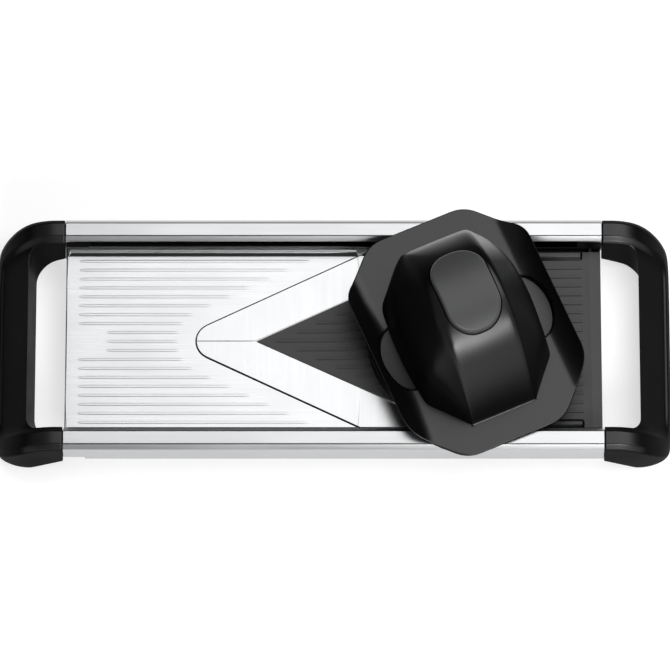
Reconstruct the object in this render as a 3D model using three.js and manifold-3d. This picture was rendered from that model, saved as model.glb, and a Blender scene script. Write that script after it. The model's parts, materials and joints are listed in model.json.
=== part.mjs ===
// Vegetable slicer: two rails between loop handles, a ribbed landing plate, a V blade,
// a runway that tilts to set the slice, and a food guard that slides along the rails.
// Millimetres. X runs along the rails, Y across them and Z up from the table.

import * as THREE from 'three';
import { ConvexGeometry } from 'three/addons/geometries/ConvexGeometry.js';
import { mergeVertices } from 'three/addons/utils/BufferGeometryUtils.js';
import Module from 'manifold-3d';

const wasm = await Module();
wasm.setup();

// Clearances
const gap = 0.3;
const runningGap = 0.4;
const overrun = 1;

// Rails
const railLength = 330;
const railTop = 36;
const railHeight = 19;
const railWidth = 14.2;
const frameWidth = 150.8;
const railWall = 1.6;
const bevelDrop = 3.3;
const outerBevelRun = 3;
const innerBevelRun = 2.8;
const grooveDrop = 4;
const grooveHeight = 8;
const grooveDepth = 3;
const grooveInset = 3.5;
const ledgeWidth = 6;
const ledgeThickness = 2;
const notchLength = 13;
const notchHeight = 3;

// Handles
const handleReach = 42.5;
const handleFlatLength = 6.7;
const handleBendReach = 26;
const handleLipHeight = 1.5;
const armDepth = 23;
const armUndersideRun = 21;
const footRise = 0.5;
const gripInset = 22;
const armWidth = 15.9;
const fingerHoleCorner = 13;
const tenonLength = 26;
const padStripToTip = 4.5;
const padStripWidth = 14;
const padStripEndInset = 17.4;
const padStripThickness = 2.3;
const padStripCorner = 3;
const handleScrewInset = 19;

// Screws
const screwRadius = 1.4;
const screwHeadRadius = 2.5;
const screwHeadHeight = 1.7;
const handleScrewLength = 13;
const carrierScrewLength = 4.6;
const bearingScrewLength = 17.5;

// Landing plate
const plateThickness = 1.4;
const plateEndGap = 0.4;
const ribHeight = 0.8;
const ribWidth = 2.6;
const ribEdgeInset = 3.38;
const ribCount = 19;
const ribStartInset = 8.6;
const shortRibStartInset = 26;
const shortRibCount = 3;
const ribToBlade = 10.3;
const plateBeadWidth = 4.6;
const plateBeadHeight = 1.6;

// V blade and its carrier
const bladeTipX = -84;
const bladeTipRadius = 11.4;
const bladeHalfAngle = 26.1 * THREE.MathUtils.DEG2RAD;
const edgeTipX = -48.5;
const edgeHalfAngle = 25.5 * THREE.MathUtils.DEG2RAD;
const bladeThickness = 1.1;
const bladeSeam = 0.3;
const bladeBevel = 2.4;
const plateToBlade = 0.9;
const carrierLip = 5;
const carrierDepth = 3;
const carrierRecess = 8;
const earHeight = 3.2;
const earWidth = 4.2;
const carrierScrewInsets = [32.5, 7.5];

// Runway
const runwaySideGap = 3.6;
const runwayThickness = 2.6;
const runwayToEdge = 1.5;
const runwayEndGap = 0.6;
const runwayNoseDrop = 0.6;
const runwayRibHeight = 0.6;
const runwayRibEnd = 12;
const guideBarWidth = 3.8;
const guideBarHeight = 2.4;
const guideBarEnd = 13;
const guideBarStart = 80;
const pivotInset = 7;
const pivotHeight = 21;
const pivotRadius = 1.5;
const pivotCover = 3;
const barrelRadius = 3.2;

// Depth setting
const sliceRange = 5.8;
const dialTurn = 150 * THREE.MathUtils.DEG2RAD;
const shaftPastLedge = 17.27;
const shaftHeight = 9.5;
const shaftRadius = 2.5;
const camRadius = 8.7;
const camThickness = 5;
const camInset = 26;
const followerWidth = 5;
const wheelRadius = 8.4;
const wheelGrooveDepth = 0.6;
const wheelGrooves = 24;
const wheelThickness = 8;
const wheelInset = 10;
const bearingLength = 18;
const bearingWidth = 12;
const bearingDepth = 12;
const bearingOverhang = 5.2;
const bearingScrewSpacing = 12;

// Food guard
const guardX = 81;
const guardTurn = 23.5 * THREE.MathUtils.DEG2RAD;
const flangeThickness = 2;
const flangeLength = 152;
const flangeEndWidth = 64;
const flangeFlatWidth = 98;
const flangeWidth = 120;
const flangeSideLength = 94;
const flangeCorner = 9;
const wingRise = 9.5;
const domeLength = 58;
const domeWidth = 84;
const domeHeight = 66;
const domeRidgeWidth = 41;
const domeWall = 2.2;
const shoulderWidth = 76;
const shoulderHeight = 30;
const scoopLength = 40;
const scoopHeight = 44;
const scoopReach = 25;
const scoopOffset = 50;
const scoopRise = 18;
const collarDepth = 6;
const collarWall = 2.2;

// Glide ring between the rails
const ringWall = 2.9;
const ringLip = 2;
const ringLipWidth = 2.6;
const ringKeyLength = 18;
const ringKeyHeight = 3;
const ringRailGap = 0.5;

// Plunger
const padLength = 54;
const padWidth = 36.8;
const padCorner = 15;
const padOffset = -2.7;
const padProud = 2;
const padWall = 2.4;
const padFloorGap = 4.5;
const plungerTravel = 18;
const wellWall = 1.6;
const wellFloor = 22;
const wellFloorThickness = 2;
const bossRadius = 9.5;
const bossBottom = 56;
const stemRadius = 4;
const stemSocket = 6;
const guideLength = 30;
const guideWidth = 19;
const guideFlange = 2;
const guideTubeRadius = 5.8;
const guideTubeBelow = 4;
const guideTubeAbove = 2.5;
const guideScrewSpacing = 23;
const guideScrewLength = 4;
const guideHeadHeight = 1.2;
const springRadius = 8.2;
const springWire = 1.4;
const springTurns = 6;
const spikePlateLength = 72;
const spikePlateWidth = 56;
const spikePlateCorner = 20;
const spikePlateThickness = 2.5;
const spikeHubRadius = 8;
const spikeHubHeight = 2;
const plateScrewLength = 9;
const spikeRadius = 1.1;
const spikeLength = 7;
const spikeSpacing = 15;
const spikeDiscThickness = 0.8;
const spikeDiscInset = 3;

// Worked out from the driving sizes
const railEnd = railLength / 2;
const frameHalf = frameWidth / 2;
const railInner = frameHalf - railWidth;
const railBottom = railTop - railHeight;
const ledgeTop = railBottom + ledgeThickness;
const ledgeInner = railInner - ledgeWidth;
const boreInner = railInner + grooveDepth + railWall;
const boreOuter = frameHalf - railWall;
const boreBottom = railBottom + railWall;
const boreTop = railTop - railWall;
const plateBottom = ledgeTop + gap;
const plateTop = plateBottom + plateThickness;
const bladeTop = plateTop + ribHeight;
const bladeBottom = bladeTop - bladeThickness;
const deckHalfWidth = ledgeInner - gap;
const earOuter = railInner - gap;
const earInner = earOuter - earWidth;
const earTop = plateBottom + earHeight;
const bladeEndY = earInner - runningGap;
const ribPitch = 2 * (earOuter - plateBeadWidth - ribEdgeInset) / (ribCount - 1);
const edgeSlope = 1 / Math.tan(edgeHalfAngle);
const runwayHalf = railInner - runwaySideGap;
const runwayNoseX = edgeTipX + runwayToEdge;
const pivotX = railEnd - pivotInset;
const runwayLength = pivotX - runwayNoseX;
const runwayTop = pivotHeight + pivotCover;
const runwayTilt = Math.asin((runwayTop - bladeTop + runwayNoseDrop) / runwayLength);
const runwaySwing = Math.asin(sliceRange / runwayLength);
const bearingInner = railInner - bearingOverhang;
const camY = bearingInner - camInset;
const wheelY = wheelInset - bearingInner;
const ledgeEnd = runwayNoseX + edgeSlope * ledgeInner - overrun;
const carrierScrewXs = carrierScrewInsets.map((inset) => ledgeEnd - inset);
const shaftX = ledgeEnd + shaftPastLedge;
const padStripLength = frameWidth - 2 * padStripEndInset;
const padStripInset = handleReach - padStripToTip - padStripWidth;
const ringOuter = railInner - ringRailGap;
const collarRadius = ringOuter - ringWall - gap;
const flangeTop = railTop + runningGap + flangeThickness;
const collarBottom = -flangeThickness - collarDepth;

// Solids: geometry in, geometry out

function solidOf(geometry) {
  const bare = geometry.clone();
  bare.deleteAttribute('normal');
  bare.deleteAttribute('uv');
  const merged = mergeVertices(bare);
  const vertProperties = new Float32Array(merged.attributes.position.array);
  const triVerts = new Uint32Array(merged.index.array);
  return new wasm.Manifold(new wasm.Mesh({ numProp: 3, vertProperties, triVerts }));
}

function geometryOf(solid) {
  const { vertProperties, triVerts } = solid.getMesh();
  const geometry = new THREE.BufferGeometry();
  geometry.setAttribute('position', new THREE.BufferAttribute(vertProperties, 3));
  geometry.setIndex(new THREE.BufferAttribute(triVerts, 1));
  geometry.computeVertexNormals();
  return geometry;
}

function join(...pieces) {
  return geometryOf(pieces.map(solidOf).reduce((sum, piece) => sum.add(piece)));
}

function cut(base, ...tools) {
  return geometryOf(tools.map(solidOf).reduce((rest, tool) => rest.subtract(tool), solidOf(base)));
}

function common(...pieces) {
  return geometryOf(pieces.map(solidOf).reduce((shared, piece) => shared.intersect(piece)));
}

// The same shape on the other side of the X axis, with its faces turned out again.
function mirrored(geometry) {
  const turned = geometry.clone().scale(1, -1, 1);
  const index = turned.index.array;
  for (let i = 0; i < index.length; i += 3) {
    [index[i], index[i + 1]] = [index[i + 1], index[i]];
  }
  turned.computeVertexNormals();
  return turned;
}

// Outlines and prisms

function arcPoints(x, y, radius, from, to, steps) {
  const curve = new THREE.EllipseCurve(x, y, radius, radius, from, to, to < from);
  return curve.getPoints(steps);
}

function roundedRectangle(length, width, radius, steps = 5) {
  const x = length / 2 - radius;
  const y = width / 2 - radius;
  const quarter = Math.PI / 2;
  return [[x, y], [-x, y], [-x, -y], [x, -y]].flatMap(([cx, cy], i) =>
    arcPoints(cx, cy, radius, i * quarter, (i + 1) * quarter, steps));
}

function softCorners(corners, reach, steps = 4) {
  return corners.flatMap((corner, i) => {
    const before = corners.at(i - 1);
    const after = corners[(i + 1) % corners.length];
    const start = corner.clone().lerp(before, reach / corner.distanceTo(before));
    const end = corner.clone().lerp(after, reach / corner.distanceTo(after));
    return new THREE.QuadraticBezierCurve(start, corner, end).getPoints(steps);
  });
}

function points(...pairs) {
  return pairs.map(([x, y]) => new THREE.Vector2(x, y));
}

function extrude(outline, depth) {
  return new THREE.ExtrudeGeometry(new THREE.Shape(outline), { depth, bevelEnabled: false });
}

// An outline in X and Y, from one height to another.
function upright(outline, bottom, top) {
  return extrude(outline, top - bottom).translate(0, 0, bottom);
}

// An outline in Y and Z, pushed along X.
function alongX(outline, start, end) {
  const turn = new THREE.Matrix4().makeBasis(
    new THREE.Vector3(0, 1, 0), new THREE.Vector3(0, 0, 1), new THREE.Vector3(1, 0, 0));
  return extrude(outline, end - start).translate(0, 0, start).applyMatrix4(turn);
}

// An outline in X and Z, pushed along Y.
function alongY(outline, start, end) {
  const turn = new THREE.Matrix4().makeBasis(
    new THREE.Vector3(1, 0, 0), new THREE.Vector3(0, 0, 1), new THREE.Vector3(0, -1, 0));
  return extrude(outline, end - start).translate(0, 0, -end).applyMatrix4(turn);
}

function block(x, y, z) {
  const size = [x, y, z].map(([low, high]) => high - low);
  const middle = [x, y, z].map(([low, high]) => (low + high) / 2);
  return new THREE.BoxGeometry(...size).translate(...middle);
}

function uprightRod(radius, bottom, top, x = 0, y = 0, sides = 16) {
  return new THREE.CylinderGeometry(radius, radius, top - bottom, sides)
    .rotateX(Math.PI / 2).translate(x, y, (bottom + top) / 2);
}

function crossRod(radius, start, end, x, z, sides = 16) {
  return new THREE.CylinderGeometry(radius, radius, end - start, sides)
    .translate(x, (start + end) / 2, z);
}

function hull(vectors) {
  return new ConvexGeometry(vectors);
}

// A pan head under a shank, pointing up.
function screw(x, y, headBottom, length, headHeight = screwHeadHeight) {
  const headTop = headBottom + headHeight;
  return join(
    uprightRod(screwHeadRadius, headBottom, headTop, x, y, 12),
    uprightRod(screwRadius, headTop - overrun, headTop + length, x, y, 10));
}

function screwHole(x, y, bottom, top) {
  return uprightRod(screwRadius + gap, bottom, top, x, y, 12);
}

const sides = [-1, 1];

// The V of the blade: a rounded tip, then two straight legs

function bladeSide(offset, y) {
  const radius = bladeTipRadius + offset;
  const centre = bladeTipX + bladeTipRadius;
  if (Math.abs(y) < radius * Math.cos(bladeHalfAngle)) {
    return centre - Math.sqrt(radius * radius - y * y);
  }
  return centre - radius / Math.sin(bladeHalfAngle) + Math.abs(y) / Math.tan(bladeHalfAngle);
}

function edgeSide(offset, y) {
  return edgeTipX + offset + edgeSlope * Math.abs(y);
}

// Half of the V's outer line, from the middle out to y = reach.
function bladeHalfLine(offset, start, reach, steps = 6) {
  const bend = (bladeTipRadius + offset) * Math.cos(bladeHalfAngle);
  const ys = Array.from({ length: steps + 1 }, (_, i) => start + (bend - start) * i / steps);
  return [...ys, reach].map((y) => [bladeSide(offset, y), y]);
}

// A band between the V's outer line and the cutting edge's line.
function bladeBand(outerOffset, innerOffset, halfWidth, bottom, top) {
  const half = bladeHalfLine(outerOffset, 0, halfWidth);
  const mirrored = half.slice(1).map(([x, y]) => [x, -y]).reverse();
  const inner = [halfWidth, 0, -halfWidth].map((y) => [edgeSide(innerOffset, y), y]);
  return upright(points(...mirrored, ...half, ...inner), bottom, top);
}

// Everything to the right of the V's outer line.
function bladeOpening(offset, halfWidth, bottom, top) {
  const half = bladeHalfLine(offset, 0, halfWidth);
  const mirrored = half.slice(1).map(([x, y]) => [x, -y]).reverse();
  const right = [[railEnd + overrun, halfWidth], [railEnd + overrun, -halfWidth]];
  return upright(points(...mirrored, ...half, ...right), bottom, top);
}

// Rails

function railSection() {
  return points(
    [ledgeInner, railBottom], [frameHalf, railBottom], [frameHalf, railTop - bevelDrop],
    [frameHalf - outerBevelRun, railTop], [railInner + innerBevelRun, railTop],
    [railInner, railTop - bevelDrop], [railInner, ledgeTop], [ledgeInner, ledgeTop]);
}

// The hollow inside the rail; the handle's tenon is the same section, smaller by a gap.
function boreSection(shrink) {
  const outer = boreOuter - shrink;
  const top = boreTop - shrink;
  return points(
    [boreInner + shrink, boreBottom + shrink], [outer, boreBottom + shrink],
    [outer, railTop - bevelDrop - shrink], [frameHalf - outerBevelRun - shrink, top],
    [boreInner + shrink, top]);
}

function rail() {
  const body = alongX(railSection(), -railEnd, railEnd);
  const bore = alongX(boreSection(0), -railEnd - overrun, railEnd + overrun);
  const grooveTop = railTop - grooveDrop;
  const groove = alongY(
    roundedRectangle(railLength - 2 * grooveInset, grooveHeight, grooveHeight / 2)
      .map((p) => new THREE.Vector2(p.x, p.y + grooveTop - grooveHeight / 2)),
    railInner - overrun, railInner + grooveDepth);
  const ledgeCut = block(
    [ledgeEnd, railEnd + overrun], [ledgeInner - overrun, railInner],
    [railBottom - overrun, ledgeTop + overrun]);
  const notch = block(
    [-railEnd - overrun, -railEnd + notchLength], [boreOuter, frameHalf + overrun],
    [railBottom - overrun, railBottom + notchHeight]);
  const pivotHole = crossRod(
    pivotRadius + gap, railInner - overrun, boreInner + overrun, pivotX, pivotHeight);
  const carrierHoles = carrierScrewXs.map((x) =>
    screwHole(x, (earInner + earOuter) / 2, railBottom - overrun, ledgeTop + overrun));
  const handleHoles = sides.map((end) => screwHole(
    end * (railEnd - handleScrewInset), (boreInner + boreOuter) / 2,
    railBottom - overrun, boreBottom + overrun));
  const bearingHoles = sides.map((end) => screwHole(
    shaftX + end * bearingScrewSpacing / 2, (railInner + boreInner) / 2,
    railBottom - overrun, railBottom + bearingScrewLength - bearingDepth));
  return cut(body, bore, groove, ledgeCut, notch, pivotHole,
    ...carrierHoles, ...handleHoles, ...bearingHoles);
}

// Handles: x is counted from the rail's end

function handleProfile() {
  const bend = new THREE.QuadraticBezierCurve(
    new THREE.Vector2(handleFlatLength, railTop), new THREE.Vector2(handleBendReach, railTop),
    new THREE.Vector2(handleReach, handleLipHeight));
  return [
    ...points([0, railTop - armDepth], [armUndersideRun, footRise],
      [handleReach - handleLipHeight, footRise]),
    ...bend.getPoints(10).reverse(),
    new THREE.Vector2(0, railTop)];
}

// The finger hole's outline, grown outwards by a bevel at the top.
function fingerHole(grow) {
  const halfWidth = frameHalf - armWidth + grow;
  const end = gripInset + grow;
  const radius = fingerHoleCorner + grow;
  const quarter = Math.PI / 2;
  return [
    new THREE.Vector2(-overrun, -halfWidth),
    ...arcPoints(end - radius, radius - halfWidth, radius, -quarter, 0, 6),
    ...arcPoints(end - radius, halfWidth - radius, radius, 0, quarter, 6),
    new THREE.Vector2(-overrun, halfWidth)];
}

function handle() {
  const body = alongY(handleProfile(), -frameHalf, frameHalf);
  const roof = alongX(points(
    [-frameHalf - overrun, -overrun], [frameHalf + overrun, -overrun],
    [frameHalf + overrun, railTop - bevelDrop], [frameHalf, railTop - bevelDrop],
    [frameHalf - outerBevelRun, railTop], [-frameHalf + outerBevelRun, railTop],
    [-frameHalf, railTop - bevelDrop], [-frameHalf - overrun, railTop - bevelDrop]),
  -overrun, handleReach + overrun);
  const hole = upright(fingerHole(0), -overrun, railTop + overrun);
  const holeBevel = hull([
    ...fingerHole(0).map((p) => new THREE.Vector3(p.x, p.y, railTop - bevelDrop)),
    ...fingerHole(innerBevelRun).map((p) => new THREE.Vector3(p.x, p.y, railTop))]);
  const recess = upright(
    roundedRectangle(padStripWidth + 2 * gap, padStripLength + 2 * gap, padStripCorner + gap)
      .map((p) => new THREE.Vector2(p.x + padStripInset + padStripWidth / 2, p.y)),
    -overrun, padStripThickness + gap);
  const shell = cut(common(body, roof), hole, holeBevel, recess);
  const tenons = sides.map((side) => {
    const peg = alongX(boreSection(gap), -tenonLength, overrun);
    return side > 0 ? peg : peg.rotateZ(Math.PI).translate(overrun - tenonLength, 0, 0);
  });
  const holes = sides.map((side) => screwHole(
    -handleScrewInset, side * (boreInner + boreOuter) / 2, boreBottom - overrun,
    railBottom + handleScrewLength + gap));
  return cut(join(shell, ...tenons), ...holes);
}

function footPad() {
  return upright(
    roundedRectangle(padStripWidth, padStripLength, padStripCorner)
      .map((p) => new THREE.Vector2(p.x + padStripInset + padStripWidth / 2, p.y)),
    0, padStripThickness);
}

function handleScrews() {
  return sides.flatMap((end) => sides.map((side) => screw(
    end * (railEnd - handleScrewInset), side * (boreInner + boreOuter) / 2,
    railBottom - gap - screwHeadHeight, handleScrewLength)));
}

// Landing plate

function rib(y, start, end, bottom, top) {
  const foot = ribWidth / 2;
  const crown = ribWidth / 5;
  return alongX(points([y - foot, bottom], [y + foot, bottom], [y + crown, top], [y - crown, top]),
    start, end);
}

function ribPlaces(count) {
  return Array.from({ length: count }, (_, i) => (i - (count - 1) / 2) * ribPitch);
}

function landingPlate() {
  const start = -railEnd + plateEndGap;
  const sheet = block([start, railEnd / 2], [-earOuter, earOuter], [plateBottom, plateTop]);
  const beads = sides.map((side) => {
    const inner = side * (earOuter - plateBeadWidth);
    const shoulder = side * (earOuter - plateBeadWidth / 2);
    const beadTop = plateTop + plateBeadHeight;
    const outline = points([inner, plateBottom], [side * earOuter, plateBottom],
      [side * earOuter, beadTop], [shoulder, beadTop], [inner, plateTop]);
    return alongX(side > 0 ? outline : outline.reverse(), start, railEnd / 2);
  });
  const opening = bladeOpening(plateToBlade, frameHalf, plateBottom - overrun, railTop);
  const shortReach = ribPitch * shortRibCount / 2;
  const ribs = ribPlaces(ribCount).map((y) => rib(
    y, -railEnd + (Math.abs(y) < shortReach ? shortRibStartInset : ribStartInset),
    bladeSide(ribToBlade, y), plateTop - plateThickness / 2, plateTop + ribHeight));
  return join(cut(join(sheet, ...beads), opening), ...ribs);
}

// Blades: one half each side of the seam, ground underneath along the inner edge

function bladeHalf(side) {
  const line = bladeHalfLine(0, bladeSeam / 2, bladeEndY);
  const edge = [bladeSeam / 2, bladeEndY];
  const top = [...line, ...edge.map((y) => [edgeSide(0, y), y])];
  const bottom = [...line, ...edge.map((y) => [edgeSide(-bladeBevel, y), y])];
  return hull([
    ...top.map(([x, y]) => new THREE.Vector3(x, side * y, bladeTop)),
    ...bottom.map(([x, y]) => new THREE.Vector3(x, side * y, bladeBottom))]);
}

function bladeCarrier() {
  const deckBottom = ledgeTop - carrierDepth;
  const deck = bladeBand(carrierLip, -carrierRecess, deckHalfWidth, deckBottom, ledgeTop);
  const raised = bladeBand(0, -carrierRecess, earOuter, deckBottom, bladeBottom - gap);
  const ears = sides.map((side) => common(
    bladeBand(0, 0, earOuter, plateBottom, earTop),
    block([-railEnd, railEnd], side > 0 ? [earInner, earOuter] : [-earOuter, -earInner],
      [plateBottom, earTop])));
  const reliefs = sides.map((side) => block(
    [-railEnd, railEnd], side > 0 ? [deckHalfWidth, frameHalf] : [-frameHalf, -deckHalfWidth],
    [deckBottom - overrun, plateBottom]));
  const holes = carrierScrewXs.flatMap((x) => sides.map((side) => screwHole(
    x, side * (earInner + earOuter) / 2, ledgeTop, railBottom + carrierScrewLength + gap)));
  return cut(join(deck, raised, ...ears), ...reliefs, ...holes);
}

function carrierScrews() {
  return carrierScrewXs.flatMap((x) => sides.map((side) => screw(
    x, side * (earInner + earOuter) / 2, railBottom - gap - screwHeadHeight,
    carrierScrewLength)));
}

// Runway: x and z are counted from its pivot

function runway() {
  const plateLow = pivotCover - runwayThickness;
  const end = pivotInset - runwayEndGap;
  const cornerX = -runwayLength + edgeSlope * runwayHalf;
  const plate = upright(points(
    [-runwayLength, 0], [cornerX, -runwayHalf], [end, -runwayHalf], [end, runwayHalf],
    [cornerX, runwayHalf]), plateLow, pivotCover);
  const barrel = join(
    crossRod(barrelRadius, -runwayHalf, runwayHalf, 0, 0),
    block([-barrelRadius, barrelRadius], [-runwayHalf, runwayHalf], [0, plateLow + overrun]));
  const bars = sides.map((side) => {
    const outer = runwayHalf - gap;
    const centre = side * (outer - guideBarWidth / 2);
    const foot = guideBarWidth / 2;
    const crown = guideBarWidth / 4;
    const barTop = pivotCover + guideBarHeight;
    return alongX(points(
      [centre - foot, plateLow + gap], [centre + foot, plateLow + gap],
      [centre + foot, barTop - crown], [centre + crown, barTop],
      [centre - crown, barTop], [centre - foot, barTop - crown]),
    guideBarStart - pivotX, pivotInset - guideBarEnd);
  });
  const ribs = ribPlaces(ribCount - 2).map((y) => rib(
    y, -runwayLength + edgeSlope * (Math.abs(y) + ribPitch), pivotInset - runwayRibEnd,
    pivotCover - runwayThickness / 2, pivotCover + runwayRibHeight));
  const camArm = pivotX - shaftX;
  const followerFace = shaftHeight + camRadius + gap - pivotHeight + camArm * Math.sin(runwayTilt);
  const followers = sides.map((side) => block(
    [-camArm - followerWidth / 2, -camArm + followerWidth / 2],
    [side * camY - camThickness, side * camY + camThickness], [followerFace, plateLow + overrun]));
  const hole = crossRod(pivotRadius + gap, -runwayHalf - overrun, runwayHalf + overrun, 0, 0);
  return cut(join(plate, barrel, ...bars, ...ribs, ...followers), hole);
}

function pivotRod() {
  return crossRod(pivotRadius, gap - boreInner, boreInner - gap, pivotX, pivotHeight);
}

// Depth setting: snail cams on a cross shaft hold the runway up

function camOutline(steps = 30) {
  const lift = (pivotX - shaftX) * Math.sin(runwaySwing);
  return Array.from({ length: steps }, (_, i) => {
    const angle = 2 * Math.PI * i / steps;
    const turned = THREE.MathUtils.clamp(angle / dialTurn, 0, 1);
    const rest = angle > 2 * dialTurn ? 0 : turned;
    const radius = camRadius - lift * rest;
    return new THREE.Vector2(-radius * Math.sin(angle), radius * Math.cos(angle));
  });
}

function cam(side) {
  const middle = side * camY;
  const disc = alongY(
    camOutline().map((p) => new THREE.Vector2(p.x + shaftX, p.y + shaftHeight)),
    middle - camThickness / 2, middle + camThickness / 2);
  return cut(disc, crossRod(
    shaftRadius + gap, middle - camThickness, middle + camThickness, shaftX, shaftHeight));
}

function depthWheel() {
  const outline = Array.from({ length: 2 * wheelGrooves }, (_, i) => {
    const angle = Math.PI * i / wheelGrooves;
    const radius = wheelRadius - (i % 2) * wheelGrooveDepth;
    return new THREE.Vector2(shaftX + radius * Math.cos(angle), shaftHeight + radius * Math.sin(angle));
  });
  const half = wheelThickness / 2;
  return cut(alongY(outline, wheelY - half, wheelY + half), crossRod(
    shaftRadius + gap, wheelY - wheelThickness, wheelY + wheelThickness, shaftX, shaftHeight));
}

function depthShaft() {
  const reach = bearingInner + bearingWidth - overrun;
  return crossRod(shaftRadius, -reach, reach, shaftX, shaftHeight);
}

function bearingBlock(side) {
  const y = [bearingInner, bearingInner + bearingWidth];
  const top = railBottom - gap;
  const low = top - bearingDepth;
  const half = bearingLength / 2;
  const body = block([shaftX - half, shaftX + half], y, [low, top]);
  const bore = crossRod(
    shaftRadius + gap, y[0] - overrun, y[1] + overrun, shaftX, shaftHeight);
  const holes = sides.map((end) => screwHole(
    shaftX + end * bearingScrewSpacing / 2, (railInner + boreInner) / 2, low - overrun, top + overrun));
  const piece = cut(body, bore, ...holes);
  return side > 0 ? piece : piece.rotateZ(Math.PI).translate(2 * shaftX, 0, 0);
}

function bearingScrews() {
  const headBottom = railBottom - gap - bearingDepth - gap - screwHeadHeight;
  return sides.flatMap((end) => sides.map((side) => screw(
    shaftX + end * bearingScrewSpacing / 2, side * (railInner + boreInner) / 2,
    headBottom, bearingScrewLength - gap)));
}

// Food guard. u runs along the guard across the rails, v is its width, z starts at the
// flange's upper face.

function guardPoint(u, v, z) {
  return new THREE.Vector3(v, -u, z);
}

function guardOutline(pairs) {
  return points(...pairs.map(([u, v]) => [v, -u]));
}

// The dome's ridge line as shares of its length and height, from front to back.
const ridgeShares = [
  [0.985, 0.09], [0.845, 0.303], [0.534, 0.715], [0.397, 0.82], [0.17, 0.94], [-0.017, 1],
  [-0.27, 1], [-0.5, 0.88], [-0.759, 0.667], [-0.9, 0.47]];
const domeFrontShare = 1;
const domeBackShare = -0.983;
const cornerFrontShare = 0.586;
const cornerBackShare = -0.603;
const shoulderFrontShare = 0.483;
const shoulderBackShare = -0.43;

// The convex outer form of the dome, drawn in by a wall's thickness for the hollow.
function domeForm(wall, foot) {
  const length = domeLength - wall;
  const ridge = (domeRidgeWidth / 2) * (1 - wall / (domeWidth / 2));
  const height = domeHeight - wall;
  const shoulder = shoulderWidth / 2 - wall;
  const shoulderTop = shoulderHeight - wall;
  return hull(sides.flatMap((side) => [
    ...ridgeShares.map(([u, z]) => guardPoint(u * length, side * ridge, z * height)),
    guardPoint(shoulderFrontShare * length, side * shoulder, shoulderTop),
    guardPoint(shoulderBackShare * length, side * shoulder, shoulderTop),
    ...domeBase(wall).map(([u, v]) => guardPoint(u, v, foot))]));
}

function domeBase(wall) {
  const length = domeLength - wall;
  const ridge = (domeRidgeWidth / 2) * (1 - wall / (domeWidth / 2));
  const half = domeWidth / 2 - wall;
  return [
    [domeFrontShare * length, ridge], [cornerFrontShare * length, half],
    [cornerBackShare * length, half], [domeBackShare * length, ridge],
    [domeBackShare * length, -ridge], [cornerBackShare * length, -half],
    [cornerFrontShare * length, -half], [domeFrontShare * length, -ridge]];
}

function scoop(side, grow) {
  return new THREE.SphereGeometry(1, 20, 12)
    .scale(scoopReach / 2 + grow, scoopLength / 2 + grow, scoopHeight / 2 + grow)
    .translate(side * scoopOffset, 0, scoopRise);
}

function flange() {
  const endU = flangeLength / 2;
  const endV = flangeEndWidth / 2;
  const sideU = flangeSideLength / 2;
  const flatV = flangeFlatWidth / 2;
  const wingV = flangeWidth / 2;
  const creaseU = endU - (endU - sideU) * (flatV - endV) / (wingV - endV);
  const corners = guardOutline([
    [endU, endV], [sideU, wingV], [-sideU, wingV], [-endU, endV],
    [-endU, -endV], [-sideU, -wingV], [sideU, -wingV], [endU, -endV]]);
  const wide = upright(softCorners(corners.reverse(), flangeCorner), -flangeThickness, 0);
  const flat = common(wide, block([-flatV, flatV], [-endU, endU], [-flangeThickness, 0]));
  const wings = sides.map((side) => {
    const line = [[flatV - overrun, 0], [flatV, 0], [wingV, wingRise]];
    const outline = points(
      ...line.map(([v, z]) => [side * v, z - flangeThickness]),
      ...line.reverse().map(([v, z]) => [side * v, z]));
    const strip = alongY(side > 0 ? outline : outline.reverse(), -creaseU, creaseU);
    const plan = upright(softCorners(corners, flangeCorner), -railTop, railTop);
    return common(strip, plan);
  });
  return join(flat, ...wings);
}

function padOutline(grow) {
  return roundedRectangle(padWidth + 2 * grow, padLength + 2 * grow, padCorner + grow)
    .map((p) => new THREE.Vector2(p.x, p.y - padOffset));
}

function guideHoles(bottom, top, radius) {
  return sides.map((side) => uprightRod(
    radius, bottom, top, 0, -padOffset + side * guideScrewSpacing / 2, 10));
}

function guardShell() {
  const throat = uprightRod(collarRadius - collarWall, collarBottom - overrun, -flangeThickness,
    0, 0, 48);
  const collar = uprightRod(collarRadius, collarBottom, -flangeThickness / 2, 0, 0, 48);
  const mouth = common(
    upright(guardOutline(domeBase(domeWall)).reverse(), -flangeThickness - overrun, gap),
    uprightRod(collarRadius - collarWall, -flangeThickness - overrun, gap, 0, 0, 48));
  const dome = cut(domeForm(0, -flangeThickness / 2), scoop(1, 0), scoop(-1, 0));
  const wellOutside = upright(padOutline(runningGap + wellWall), wellFloor, domeHeight + overrun);
  const hollow = cut(domeForm(domeWall, 0), scoop(1, domeWall), scoop(-1, domeWall), wellOutside);
  const well = upright(padOutline(runningGap), wellFloor + wellFloorThickness, domeHeight + overrun);
  const tubeHole = uprightRod(
    guideTubeRadius + gap, wellFloor - overrun, wellFloor + wellFloorThickness + overrun,
    0, -padOffset);
  return cut(join(flange(), dome, collar), throat, mouth, hollow, well, tubeHole,
    ...guideHoles(wellFloor - overrun, wellFloor + wellFloorThickness + overrun,
      screwRadius + gap));
}

function glideRing() {
  const inner = ringOuter - ringWall;
  const top = railTop + runningGap - gap - flangeTop;
  const lipTop = collarBottom - gap;
  const bottom = lipTop - ringLip;
  const keys = block(
    [-ringKeyLength / 2, ringKeyLength / 2],
    [gap - railInner - grooveDepth, railInner + grooveDepth - gap],
    [lipTop - ringKeyHeight, lipTop]);
  const body = join(uprightRod(ringOuter, bottom, top, 0, 0, 56), keys);
  return cut(body,
    uprightRod(inner, lipTop, top + overrun, 0, 0, 56),
    uprightRod(inner - ringLipWidth, bottom - ringKeyHeight, top, 0, 0, 56));
}

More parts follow.
